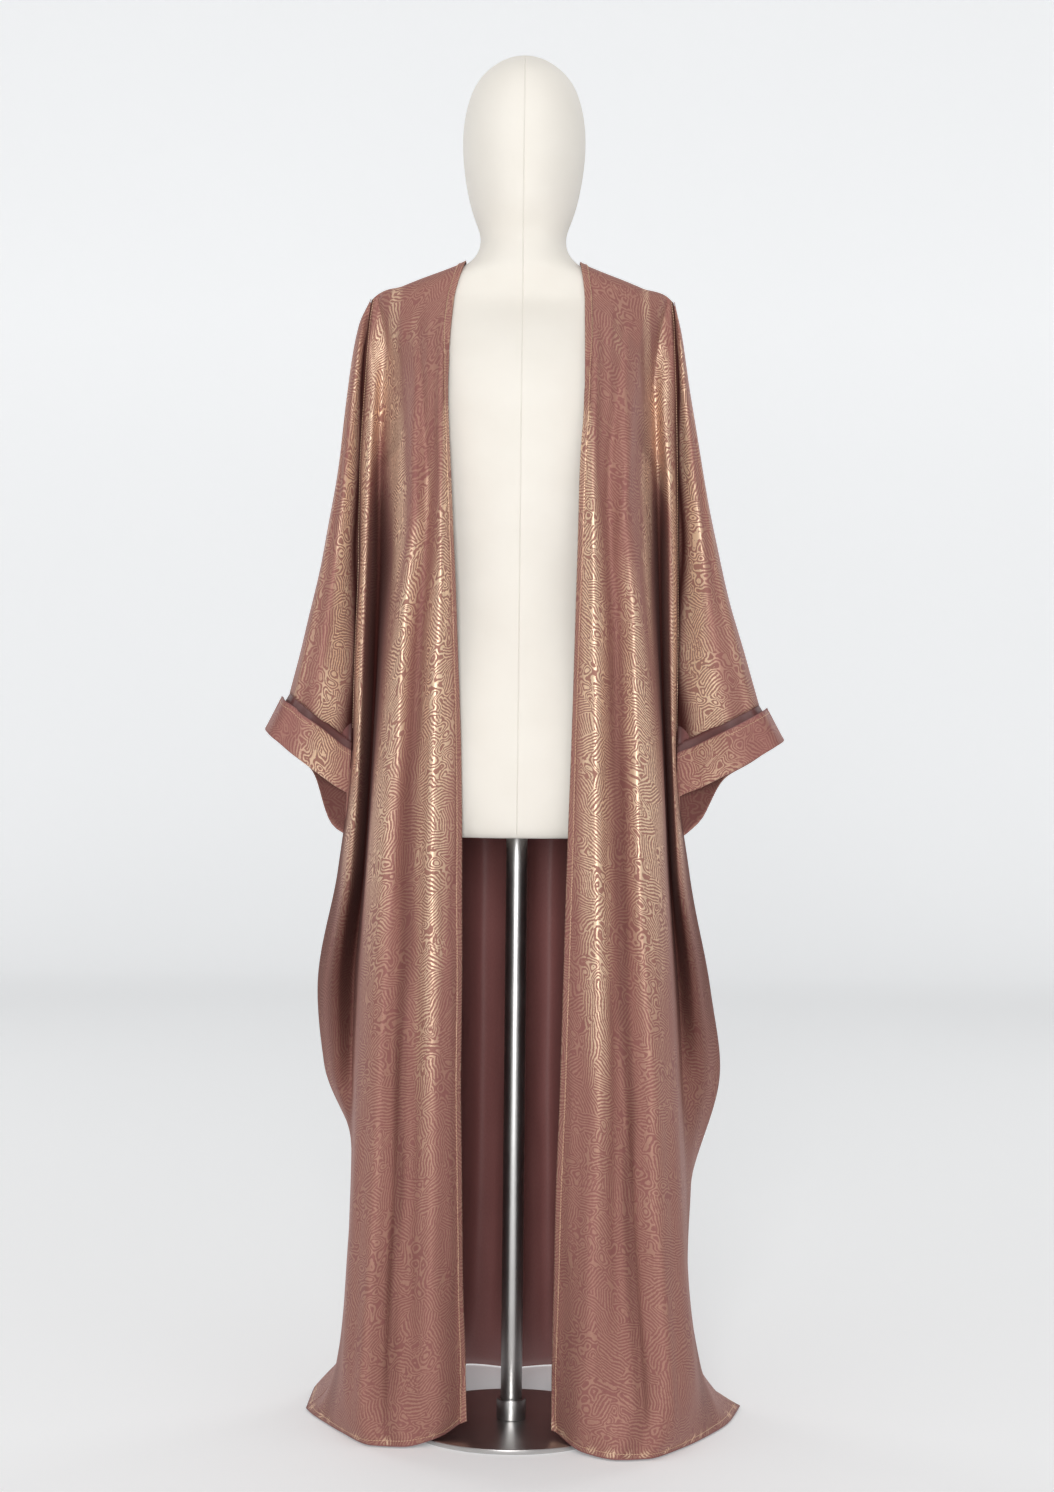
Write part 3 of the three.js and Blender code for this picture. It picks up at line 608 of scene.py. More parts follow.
points_of = {"front_right": front_points(-1), "front_left": front_points(1), "back_panel": back_points()}
for name, points in points_of.items():
    print(name, "grid of points:", points.shape[:2])

# %% [markdown]
# A sleeve is one piece of cloth that goes from the front of the armhole over the arm to its
# back. Its rows run down from the shoulder point to the slanted seam of the cuff.

# %% Points of the sleeves
OVER_ARM = {
    -1: table("z x y", [(SLEEVE_TOP, 193, 5), (1395, 207, 8), (1300, 223, 14), (1200, 234, 16),
                        (1100, 251, 16), (1000, 273, 14), (924, 291, 10)]),
    1: table("z x y", [(SLEEVE_TOP, 193, 5), (1395, 200, 8), (1300, 217, 14), (1200, 234, 16),
                       (1100, 254, 16), (1000, 281, 14), (915, 306, 8)]),
}
CUFF_SEAM_TOP = {-1: 924, 1: 915}
CUFF_SEAM_FOOT = 862
SLEEVE_OPEN = 2.5
SLEEVE_FULLNESS = 20
SLEEVE_SAG = 26
SLEEVE_ROWS = 130
SLEEVE_COLUMNS = 96
SLEEVE_FOLDS = [(0.18, 5, 0.07), (0.34, 6, 0.06), (0.66, 6, 0.06), (0.82, 5, 0.07)]


def sleeve_row(side, along, round_arm):
    """Points of a sleeve's row: round_arm is an array from 0 at the front to 1 at the back."""
    top_z = mix(SLEEVE_TOP, CUFF_SEAM_TOP[side], along)
    foot_z = mix(ARMHOLE_TOP - 2, CUFF_SEAM_FOOT, along)
    front = float(side_line(side, foot_z, -1))
    rear = float(side_line(side, foot_z, 1))
    clear = SEAM + 0.16 + SLEEVE_OPEN * float(smooth(0.86, 1, along))
    turn = np.pi * round_arm
    reach = np.maximum(np.sin(turn), 0) ** 0.85
    fullness = SLEEVE_FULLNESS * float(smooth(0.05, 0.7, along)) * np.sin(2 * turn)
    fold = np.zeros_like(turn)
    for at, rise, width in SLEEVE_FOLDS:
        fold += rise * float(smooth(0.15, 0.5, along)) * np.exp(-(((round_arm - at) / width) ** 2))
    fold *= np.sign(np.cos(turn))
    hole_x = float(ACROSS[side]["side"](foot_z)) + clear
    x = mix(hole_x, float(OVER_ARM[side]["x"](top_z)), reach)
    middle = (front + rear) / 2
    y = (mix(middle, float(OVER_ARM[side]["y"](top_z)), reach * 0.6)
         - (rear - front) / 2 * np.cos(turn) - fullness - fold)
    sag = np.where(round_arm > 0.5, SLEEVE_SAG * float(smooth(0.5, 1, along)) * np.sin(2 * turn) ** 2, 0)
    z = mix(foot_z, top_z, reach) - sag
    return np.stack([side * x, y, z], axis=1)


def sleeve_points(side):
    round_arm = np.linspace(0, 1, SLEEVE_COLUMNS)
    return np.array([sleeve_row(side, along, round_arm) for along in np.linspace(0, 1, SLEEVE_ROWS)])


for side, name in ((-1, "sleeve_right"), (1, "sleeve_left")):
    points_of[name] = sleeve_points(side)

# %% [markdown]
# A cuff is a ring of cloth that runs on from the sleeve's seam, turns back at its fold and
# comes up again outside, where its edge stands free and gapes a little at the front.

# %% Points of the cuffs
CUFF_STEPS = 22
CUFF_TURN = 9
CUFF_LIFT = 5           # the outer layer stands this far off the inner one
CUFF_GAPE = 9           # and this much more where it gapes
CUFF_SLACK = 0.95       # beside the armhole the back hangs lower by this share of the depth
CUFF_SLACK_WIDTH = 0.075
CUFF_BACK_LIFT = 0.34   # the middle of the back is shorter by this share
CUFF_INNER_DROP = 0.16  # the side by the armhole is a little deeper all round
CUFF_DRAWN = 4          # the ring is drawn this far towards the panels
CUFF_TUCK = 3           # and tucked this far up into the sleeve


def unit(vectors):
    return vectors / np.maximum(np.linalg.norm(vectors, axis=-1, keepdims=True), 1e-9)


def cuff_points(side):
    last = sleeve_row(side, 1.0, np.linspace(0, 1, SLEEVE_COLUMNS))
    inside = [mix(last[-1], last[0], share) - (side, 0, 0) for share in (0.2, 0.4, 0.6, 0.8)]
    loop = np.concatenate([last, inside])
    share = np.clip((np.abs(loop[:, 0]) - CUFF_INNER) / CUFF_WIDTH, 0, 1)
    loop[:, 0] = loop[:, 0] - side * CUFF_DRAWN * (1 - smooth(0, 0.15, share))
    down = unit(np.stack([side * mix(0.08, 0.52, share), 0 * share, -mix(0.98, 0.85, share)], axis=1))
    along = np.roll(loop, -1, axis=0) - np.roll(loop, 1, axis=0)
    out = unit(np.cross(along, down))
    outward = np.sum(out * (loop - loop.mean(axis=0)), axis=1)
    out = out * np.where(outward < 0, -1, 1)[:, None]
    place = np.arange(len(loop)) / (SLEEVE_COLUMNS - 1)
    gape = np.where(place < 0.5, np.sin(2 * np.pi * place) ** 2, 0.3)
    back = np.clip((place - 0.5) / 0.5, 0, 1)
    drop = 1 + CUFF_SLACK * np.exp(-((place - 1.0) / CUFF_SLACK_WIDTH) ** 2) + CUFF_INNER_DROP * (1 - share)
    drop = drop - CUFF_BACK_LIFT * np.sin(np.pi * back) ** 2

    def ring(depth, lift):
        rise = np.clip((CUFF_DEPTH - depth) / CUFF_DEPTH, 0, 1)
        offset = lift * (CUFF_LIFT + CUFF_GAPE * gape * rise) * mix(0.5, 1.0, smooth(0, 0.3, share))
        return loop + down * (2 * SEAM + depth * drop)[:, None] + out * offset[:, None]

    rings = [ring(-CUFF_TUCK, -0.15)]
    rings += [ring(CUFF_DEPTH * k / CUFF_STEPS, 0) for k in range(CUFF_STEPS)]
    for k in range(CUFF_TURN + 1):
        angle = np.pi * k / CUFF_TURN
        rings.append(ring(CUFF_DEPTH + CUFF_LIFT / 2 * np.sin(angle), (1 - np.cos(angle)) / 2))
    rings += [ring(CUFF_DEPTH - CUFF_RETURN * k / CUFF_STEPS, 1) for k in range(1, CUFF_STEPS + 1)]
    return np.array(rings)


for side, name in ((-1, "cuff_right"), (1, "cuff_left")):
    points_of[name] = cuff_points(side)
print("pieces of cloth so far:", sorted(points_of))

# %% [markdown]
# The large folds alone look pressed. Real satin also has soft creases that fan out from the
# shoulder, run down the panels and fade, and gathers where the cuff is turned back. Each is
# a row of a table: where it starts and ends across the panel, its heights, how far it rises
# (a trough is negative) and how wide it is. All are listed one by one and none is like another.

# %% Soft creases
CREASE = "x_top x_foot z_top z_foot rise width".split()
CREASES = {
    "front_right": [
        (118, 104, 1420, 1120, 3.0, 6), (135, 112, 1415, 1180, -2.4, 5), (152, 122, 1410, 1090, 2.6, 6),
        (100, 92, 1380, 900, 1.8, 4), (84, 78, 1240, 700, 1.6, 3.5), (92, 88, 1150, 560, -1.4, 3.5),
        (104, 106, 1000, 420, 1.7, 5), (112, 120, 900, 500, -1.5, 5), (140, 152, 1050, 640, 1.8, 4),
        (148, 168, 900, 480, -1.4, 5), (80, 74, 640, 160, 1.4, 5), (118, 124, 560, 120, -1.6, 6),
        (136, 149, 520, 30, -4.5, 4.5), (160, 176, 560, 90, 1.6, 7), (182, 196, 420, 40, -1.8, 6),
        (96, 112, 330, 20, 1.8, 7), (170, 186, 260, 15, 2.2, 6), (72, 64, 240, 30, -1.5, 5),
    ],
    "front_left": [
        (112, 98, 1420, 1140, 3.0, 6), (131, 108, 1415, 1200, -2.2, 5), (150, 118, 1410, 1060, 2.6, 6),
        (92, 86, 1380, 940, 1.8, 4), (78, 73, 1260, 760, 1.6, 3.5), (86, 84, 1130, 600, -1.4, 3.5),
        (98, 100, 980, 460, 1.7, 5), (108, 116, 880, 520, -1.5, 5), (138, 152, 1030, 600, 1.8, 4),
        (152, 172, 880, 460, -1.4, 5), (74, 66, 620, 180, 1.4, 5), (120, 128, 600, 140, -1.6, 6),
        (134, 162, 440, 20, -4.5, 5), (166, 186, 560, 90, 1.6, 7), (188, 206, 420, 40, -1.8, 6),
        (90, 104, 330, 20, 1.8, 7), (176, 200, 280, 15, 2.2, 6), (66, 62, 260, 30, -1.5, 5),
    ],
    "back_panel": [
        (-150, -128, 1400, 1100, 2.6, 7), (-112, -96, 1410, 1160, -2.2, 6), (-70, -60, 1440, 1150, 2.0, 6),
        (64, 58, 1440, 1180, 2.0, 6), (104, 92, 1410, 1120, -2.2, 6), (146, 126, 1400, 1080, 2.6, 7),
        (-30, -24, 1300, 700, -1.6, 7), (22, 28, 1250, 640, 1.6, 7), (-120, -126, 900, 300, 1.8, 7),
        (118, 124, 860, 320, 1.8, 7), (-70, -76, 700, 160, -2.0, 8), (72, 80, 660, 140, -2.0, 8),
        (-150, -166, 600, 120, 2.0, 7), (148, 170, 560, 120, 2.0, 7), (-20, -30, 420, 40, 2.2, 8),
        (26, 34, 380, 40, -2.2, 8), (-104, -116, 330, 30, 2.4, 8), (102, 118, 300, 30, 2.4, 8),
    ],
}


def normals_of(points, closed=False):
    """Unit normals of a grid of points."""
    if closed:
        along = np.roll(points, -1, axis=1) - np.roll(points, 1, axis=1)
    else:
        along = np.gradient(points, axis=1)
    return unit(np.cross(along, np.gradient(points, axis=0)))


def with_creases(name, points, sign):
    """A panel's points with its soft creases and a faint unevenness along its normals."""
    normals = normals_of(points) * sign
    side = -1 if name.endswith("right") else 1
    x = points[..., 0] * (1 if name == "back_panel" else side)
    z = points[..., 2]
    rise = np.zeros_like(z)
    for row in CREASES[name]:
        crease = dict(zip(CREASE, row))
        part = np.clip((crease["z_top"] - z) / (crease["z_top"] - crease["z_foot"]), 0, 1)
        bend = 3.0 * np.sin(part * 5 + crease["x_top"])
        middle = mix(crease["x_top"], crease["x_foot"], part) + bend * part * (1 - part)
        window = smooth(crease["z_foot"] - 30, crease["z_foot"] + 60, z)
        window *= 1 - smooth(crease["z_top"] - 50, crease["z_top"] + 10, z)
        rise += crease["rise"] * window * np.exp(-(((x - middle) / crease["width"]) ** 2))
    facing = np.abs(normals[..., 1]) ** 0.5
    fade = smooth(0, 40, z) * (1 - smooth(1380, 1440, z))
    return points + normals * (rise * facing * fade + unevenness(points, 0.9) * fade)[..., None]


def unevenness(points, amount):
    """Slow ripples in the cloth, longer down than across."""
    ripple = np.empty(points.shape[:2])
    for i, row in enumerate(points):
        for j, (x, y, z) in enumerate(row):
            ripple[i, j] = noise.noise(Vector((x / 26, y / 26, z / 150)))
    return amount * ripple


# %% [markdown]
# Two values are painted on the cloth's points. The painted glint is a painted highlight: it
# says how brightly the gold figure shines, bright on the ridges of the long folds that face
# the light and dull between them. Shade is painted shade: it darkens the bottoms of the deep
# folds, where the light never gets in. Both are tables of heights and folds, different on the
# two sides.

# %% Painted highlight and painted shade of the fronts
BAND = "z place width strength"
GLINT_FRONT = {
    -1: [
        # the front edge and the broad ridge
        table(BAND, [
            (1440, 0.3, 0.5, 0.0), (1290, 0.3, 0.5, 0.1), (1262, 0.3, 0.5, 1.0), (1180, 0.4, 0.6, 1.0),
            (1120, 0.7, 0.7, 0.8), (1000, 0.95, 0.75, 1.0), (850, 1.0, 0.8, 1.0), (750, 1.05, 0.75, 0.9),
            (620, 1.15, 0.55, 0.85), (500, 1.2, 0.45, 0.7), (380, 1.2, 0.4, 0.35), (250, 1.2, 0.5, 0.2),
            (40, 1.0, 0.8, 0.12),
        ]),
        # the slanting strip that becomes the second ridge
        table(BAND, [
            (1440, 2.6, 0.4, 0.1), (1380, 3.2, 0.4, 0.3), (1320, 3.3, 0.4, 0.1), (1230, 1.6, 0.5, 0.1),
            (1180, 2.0, 0.5, 0.5), (1100, 2.7, 0.6, 0.8), (1000, 3.1, 0.65, 1.0), (850, 3.3, 0.75, 0.85),
            (720, 3.5, 0.8, 0.75), (620, 3.5, 0.7, 0.45), (500, 3.4, 0.7, 0.25), (250, 3.2, 0.8, 0.2),
            (40, 3.2, 0.9, 0.15),
        ]),
        # the column beside the armhole
        table(BAND, [
            (1440, 5.6, 0.5, 0.0), (1405, 5.6, 0.5, 0.3), (1370, 5.7, 0.9, 1.0), (1300, 5.5, 1.25, 1.0),
            (1240, 5.9, 0.85, 1.0), (1180, 6.3, 0.5, 0.9), (1000, 6.3, 0.42, 0.95), (850, 6.2, 0.5, 0.9),
            (740, 6.2, 0.6, 0.8), (650, 6.1, 0.5, 0.35), (520, 6.0, 0.5, 0.12), (40, 6.0, 0.6, 0.1),
        ]),
        # its inner strip, along the brink of the deep fold
        table(BAND, [
            (1300, 4.5, 0.4, 0.7), (1240, 4.2, 0.45, 1.0), (1160, 4.0, 0.45, 1.0), (1090, 3.9, 0.4, 0.9),
            (1020, 3.9, 0.3, 0.4), (900, 3.9, 0.25, 0.1),
        ]),
    ],
    1: [
        table(BAND, [
            (1440, 0.4, 0.4, 0.0), (1290, 0.4, 0.4, 0.1), (1262, 0.4, 0.6, 1.0), (1180, 0.5, 0.75, 1.0),
            (1100, 0.7, 0.75, 1.0), (1000, 0.9, 0.7, 1.0), (850, 1.0, 0.7, 1.0), (750, 1.0, 0.7, 0.95),
            (620, 1.05, 0.55, 0.9), (500, 1.1, 0.45, 0.7), (380, 1.1, 0.4, 0.3), (250, 1.2, 0.5, 0.18),
            (40, 1.0, 0.8, 0.12),
        ]),
        table(BAND, [
            (1440, 2.8, 0.5, 0.1), (1370, 2.6, 0.45, 0.35), (1320, 2.7, 0.4, 0.1), (1120, 2.8, 0.5, 0.1),
            (1060, 2.9, 0.6, 0.6), (980, 3.0, 0.65, 0.85), (850, 3.2, 0.75, 1.0), (720, 3.3, 0.8, 0.85),
            (620, 3.3, 0.75, 0.6), (500, 3.3, 0.7, 0.3), (250, 3.2, 0.8, 0.2), (40, 3.2, 0.9, 0.15),
        ]),
        table(BAND, [
            (1440, 5.8, 0.4, 0.0), (1390, 5.8, 0.4, 0.5), (1340, 5.7, 0.7, 1.0), (1270, 5.4, 1.2, 1.0),
            (1210, 5.7, 1.0, 1.0), (1150, 6.4, 0.5, 0.9), (1000, 6.4, 0.4, 0.95), (850, 6.3, 0.45, 0.95),
            (760, 6.3, 0.45, 0.7), (650, 6.2, 0.45, 0.3), (520, 6.0, 0.5, 0.12), (40, 6.0, 0.6, 0.1),
        ]),
        table(BAND, [
            (1240, 4.5, 0.3, 0.6), (1190, 4.3, 0.35, 0.9), (1100, 4.1, 0.3, 0.85), (1010, 4.0, 0.25, 0.5),
            (940, 3.9, 0.25, 0.1),
        ]),
    ],
}
SHADE_FRONT = [
    # the deep fold beside the column, and its mouth below
    table(BAND, [
        (1290, 4.4, 0.3, 0.0), (1240, 4.2, 0.3, 0.2), (1205, 5.1, 0.4, 0.35), (1150, 5.05, 0.6, 0.8),
        (1060, 4.95, 0.7, 0.95), (940, 4.9, 0.75, 1.0), (820, 4.95, 0.75, 1.0), (720, 5.0, 0.8, 1.0),
        (640, 5.4, 0.9, 0.95), (540, 5.5, 1.0, 0.75), (440, 5.6, 0.9, 0.4), (300, 5.5, 0.8, 0.1),
        (60, 5.0, 0.6, 0.3), (3, 5.0, 0.5, 0.1),
    ]),
    # the soft valley between the two ridges
    table(BAND, [
        (1200, 2.0, 0.3, 0.0), (1050, 2.0, 0.35, 0.12), (900, 2.05, 0.38, 0.34), (750, 2.1, 0.36, 0.46),
        (600, 2.12, 0.30, 0.48), (450, 2.2, 0.24, 0.46), (250, 2.2, 0.22, 0.44), (60, 2.25, 0.3, 0.25),
    ]),
    # the groove of the armhole
    table(BAND, [
        (1440, 7.0, 0.2, 0.2), (1405, 7.0, 0.3, 0.9), (1000, 7.0, 0.32, 1.0), (860, 7.0, 0.32, 1.0),
        (780, 7.0, 0.4, 0.7), (560, 7.0, 0.6, 0.5), (440, 7.0, 0.6, 0.2), (300, 7.0, 0.5, 0.0),
    ]),
]
FRONT_GLINT_REST = 0.16


def painted(bands, places, z, sharp=3.0):
    """The strongest at each point of some bands, each a curve of place, width and strength."""
    total = np.zeros(z.shape)
    for band in bands:
        reach = np.abs((places - band["place"](z)) / band["width"](z))
        total = np.maximum(total, band["strength"](z) * np.exp(-reach ** sharp))
    return np.clip(total, 0, 1)


def wandering(points, amount, seed):
    """A slow sideways wander of the painted bands, in fold numbers."""
    heights = points[:, points.shape[1] // 2, 2]
    return np.array([amount * noise.noise(Vector((seed, 0.3, height / 120))) for height in heights])[:, None]


def hem_glints(points):
    """Painted highlights in broken patches along the hem's stitches."""
    from_hem = np.linalg.norm(points - points[-1], axis=2)
    broken = np.array([noise.noise(Vector((x / 14, y / 14, 2.0))) for x, y, z in points[-1]])
    return np.exp(-((from_hem - 6) / 6) ** 2) * smooth(-0.1, 0.35, broken)[None, :] * 0.9


paint = {}
for side, name in ((-1, "front_right"), (1, "front_left")):
    places = even_places(side, -1, FRONT_COLUMNS, len(FRONT_FOLDS))[None, :]
    z = points_of[name][..., 2]
    places = places + wandering(points_of[name], 0.16, side * 3.1)
    painted_glint = np.maximum(painted(GLINT_FRONT[side], places, z), FRONT_GLINT_REST)
    painted_glint = np.maximum(painted_glint, hem_glints(points_of[name]))
    paint[name] = (painted_glint, painted(SHADE_FRONT, places, z))

# %% Painted highlight and painted shade of the back, the sleeves and the cuffs
GLINT_BACK = [
    table(BAND, [
        (1440, 5.0, 0.6, 0.2), (1380, 5.0, 0.6, 0.6), (1300, 5.0, 0.6, 1.0), (1000, 5.0, 0.6, 0.9),
        (700, 5.0, 0.6, 1.0), (500, 5.0, 0.6, 0.65), (250, 5.0, 0.7, 0.35), (3, 5.0, 0.7, 0.3),
    ]),
    table(BAND, [
        (1440, 3.0, 0.6, 0.1), (1380, 3.0, 0.6, 0.4), (1300, 3.0, 0.6, 0.8), (1000, 3.0, 0.6, 1.0),
        (700, 3.0, 0.6, 0.85), (500, 3.0, 0.6, 0.5), (250, 3.0, 0.7, 0.3), (3, 3.0, 0.7, 0.3),
    ]),
]
SHADE_BACK = [
    table(BAND, [
        (1440, 0.0, 0.2, 0.3), (1400, 0.0, 0.25, 0.9), (860, 0.0, 0.3, 1.0), (600, 0.0, 0.45, 0.6),
        (450, 0.0, 0.4, 0.4), (300, 0.0, 0.3, 0.0),
    ]),
    table(BAND, [
        (1380, 2.0, 0.4, 0.1), (1250, 2.0, 0.45, 0.5), (860, 2.0, 0.5, 0.8), (600, 2.0, 0.5, 0.7),
        (400, 2.0, 0.5, 0.4), (150, 2.0, 0.4, 0.2), (3, 2.0, 0.4, 0.0),
    ]),
    table(BAND, [
        (1380, 4.0, 0.4, 0.1), (1250, 4.0, 0.42, 0.5), (860, 4.0, 0.45, 0.65), (600, 4.0, 0.45, 0.5),
        (400, 4.0, 0.42, 0.35), (150, 4.0, 0.4, 0.2), (3, 4.0, 0.4, 0.0),
    ]),
    table(BAND, [
        (1300, 6.0, 0.4, 0.1), (860, 6.0, 0.5, 0.3), (400, 6.0, 0.5, 0.25), (100, 6.0, 0.4, 0.1),
    ]),
]
BACK_GLINT_REST = 0.18
BACK_PLACES = ["side"] + BACK_FOLDS

halves = [even_places(side, 1, BACK_COLUMNS, len(BACK_PLACES)) for side in (-1, 1)]
places = np.concatenate([halves[0], halves[1][::-1][1:]])[None, :]
places = places + wandering(points_of["back_panel"], 0.25, 7.7)
z = points_of["back_panel"][..., 2]
painted_glint = np.maximum(painted(GLINT_BACK, places, z), BACK_GLINT_REST)
painted_glint = np.maximum(painted_glint, hem_glints(points_of["back_panel"]))
paint["back_panel"] = (painted_glint, painted(SHADE_BACK, places, z))

# Painted highlight strips of a sleeve: place round the arm, width, strength at the cuff
SLEEVE_GLINTS = {
    "sleeve_right": [(0.10, 0.07, 1.0), (0.32, 0.06, 0.45), (0.86, 0.08, 0.9), (0.62, 0.06, 0.3)],
    "sleeve_left": [(0.10, 0.08, 1.0), (0.33, 0.07, 0.40), (0.87, 0.08, 0.9), (0.60, 0.07, 0.3)],
}
ARMHOLE_SHADE = 0.030
SLEEVE_GLINT_REST = 0.22
for name, strips in SLEEVE_GLINTS.items():
    z = points_of[name][..., 2]
    round_arm = np.linspace(0, 1, SLEEVE_COLUMNS) + wandering(points_of[name], 0.04, len(strips))
    painted_glint = np.full(z.shape, SLEEVE_GLINT_REST)
    for at, width, strength in strips:
        strip = strength * np.exp(-np.abs((round_arm - at) / width) ** 2.6)
        painted_glint = np.maximum(painted_glint, strip * (1 - smooth(1330, 1420, z)))
    from_edge = np.minimum(round_arm, 1 - round_arm)
    below_top = smooth(3, 14, np.arange(len(z)))[:, None]
    # Painted shade in the groove beside each armhole seam
    paint[name] = (painted_glint, np.exp(-(from_edge / ARMHOLE_SHADE) ** 2) * below_top)

# Painted highlight strips of a cuff, the same way, and how strong they are on each cuff; the inner layer
# gets painted shade
CUFF_GLINTS = [(0.10, 0.08, 1.0), (0.84, 0.10, 0.7)]
CUFF_GLINT_REST = 0.08
CUFF_INSIDE_SHADE = 0.55
for name, strength in (("cuff_right", 0.85), ("cuff_left", 0.45)):
    rows, columns = points_of[name].shape[:2]
    place = (np.arange(columns) / (SLEEVE_COLUMNS - 1))[None, :]
    outside = smooth(CUFF_STEPS, CUFF_STEPS + 4, np.arange(rows))[:, None]
    strip = sum(share * np.exp(-np.abs((place - at) / width) ** 2.4) for at, width, share in CUFF_GLINTS)
    paint[name] = (outside * strength * strip + CUFF_GLINT_REST,
                   (1 - outside) * CUFF_INSIDE_SHADE * np.ones((rows, columns)))

# %% [markdown]
# The shoulder seams are raised a little at their ends, where the sleeve's cloth holds them
# up off the form, and each armhole seam sinks into a groove between the two pieces it joins.

# %% Shoulder ends and armhole grooves
SHOULDER_RAISE = 13
GROOVE_DEPTH = 11
GROOVE_WIDTH = 7
DRAWN_WIDTH = 0.07


def raised(points):
    """The points with the outer end of the shoulder seam lifted up."""
    lift = SHOULDER_RAISE * smooth(152, 196, np.abs(points[..., 0])) * smooth(1370, 1416, points[..., 2])
    return points + lift[..., None] * (0, 0, 1)


def grooved(points, face, edges):
    """The points sunk beside the armhole seam: face is -1 or 1, edges 0 (first) or 1 (last)."""
    sunk = points.copy()
    for edge in edges:
        inward = -1 if edge else 1
        row = points[:, ::inward]
        z = row[..., 2]
        window = smooth(ARMHOLE_FOOT - 60, ARMHOLE_FOOT + 30, z) * (1 - smooth(1390, 1422, z))
        sink = GROOVE_DEPTH * np.exp(-(lengths(row, 1) / GROOVE_WIDTH) ** 2) * window
        sunk[..., 1] -= sink[:, ::inward] * face
    return sunk


for name in ("front_right", "front_left", "back_panel"):
    points_of[name] = raised(points_of[name])
for name in ("front_right", "front_left"):
    points_of[name] = grooved(points_of[name], -1, (1,))
points_of["back_panel"] = grooved(points_of["back_panel"], 1, (0, 1))


def joined(sleeve, side, edges):
    """A sleeve's points drawn to the edges of the front and the back panel beside it."""
    drawn = sleeve.copy()
    for place, edge in enumerate(edges):
        order = np.argsort(edge[:, 2])
        here = sleeve[:, -place]
        target_x = np.interp(here[:, 2], edge[order, 2], edge[order, 0]) + side * SEAM
        target_y = np.interp(here[:, 2], edge[order, 2], edge[order, 1])
        near = np.exp(-((np.linspace(0, 1, SLEEVE_COLUMNS) - place) / DRAWN_WIDTH) ** 2)
        move = np.stack([target_x - here[:, 0], target_y - here[:, 1]], axis=1)
        move *= smooth(ARMHOLE_FOOT - 1, ARMHOLE_FOOT + 20, here[:, 2])[:, None]
        drawn[..., :2] += move[:, None, :] * near[None, :, None]
    return drawn


for side, name in ((-1, "right"), (1, "left")):
    edges = (points_of["front_" + name][:, -1], points_of["back_panel"][:, 0 if side < 0 else -1])
    points_of["sleeve_" + name] = joined(points_of["sleeve_" + name], side, edges)


# %% [markdown]
# A sheet of cloth starts as a flat grid of squares. Every point is moved to its place in
# the fall, its UV map holds the metres of cloth along and across the cut piece, and Solidify
# gives the cloth its thickness.

# %% Sheets of cloth
collection = bpy.context.collection


def mesh_from(made, name, smoothed=True):
    """The mesh of a finished bmesh, its faces smooth or flat."""
    for face in made.faces:
        face.smooth = smoothed
    mesh = bpy.data.meshes.new(name)
    made.to_mesh(mesh)
    made.free()
    return mesh


def placed(name, mesh, materials, slot=None):
    """A new object with its mesh and materials. With a slot named it rides the root."""
    for material in materials:
        mesh.materials.append(material)
    piece = bpy.data.objects.new(name, mesh)
    collection.objects.link(piece)
    if slot:
        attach(piece, "root")
    return piece


def sheet(name, points, outward, painted_glint, shade, thickness=CLOTH, closed=False, shift=(0.0, 0.0)):
    """A piece of cloth whose middle runs through a grid of points in millimetres."""
    rows, columns = points.shape[:2]
    if closed:
        points, painted_glint, shade = (np.concatenate([grid, grid[:, :1]], axis=1)
                               for grid in (points, painted_glint, shade))
        columns += 1
    u, v = lengths(points, 1) * MM, lengths(points) * MM
    u = u - u.mean(axis=1, keepdims=True)
    made = bmesh.new()
    bmesh.ops.create_grid(made, x_segments=columns - 1, y_segments=rows - 1, size=0.5)
    cut = made.loops.layers.uv.new("cut")
    glint_layer = made.verts.layers.float.new("painted_glint")
    shade_layer = made.verts.layers.float.new("shade")
    made.verts.ensure_lookup_table()
    for vertex in made.verts:
        i, j = divmod(vertex.index, columns)
        vertex.co = Vector(points[i, j]) * MM
        vertex[glint_layer] = painted_glint[i, j]
        vertex[shade_layer] = shade[i, j]
    for face in made.faces:
        for loop in face.loops:
            i, j = divmod(loop.vert.index, columns)
            loop[cut].uv = (u[i, j] + shift[0], v[i, j] + shift[1])
    if closed:
        bmesh.ops.remove_doubles(made, verts=made.verts, dist=0.02 * MM)
    if outward < 0:
        bmesh.ops.reverse_faces(made, faces=made.faces)
    mesh = mesh_from(made, "cloth_" + name)
    piece = placed("cloth_" + name, mesh, [cloth_satin, cloth_inside], "satin")
    solid = piece.modifiers.new("cloth", "SOLIDIFY")
    solid.thickness = thickness * MM
    solid.offset = 0.0
    solid.material_offset = 1
    area = sum(face.area for face in mesh.polygons)
    width, length = float(np.ptp(u, axis=1).max()), float(v[-1].max())
    print(f"{name}: cut {width:.3f} by {length:.3f} m, {area:.4f} m2 of cloth")
    return piece, (width, length, area)


# %% [markdown]
# The fronts, the back and the sleeves are cut separately and meet at seams. Each piece
# replaces its imported solid, which stays in the frame for weight and contact, hidden.

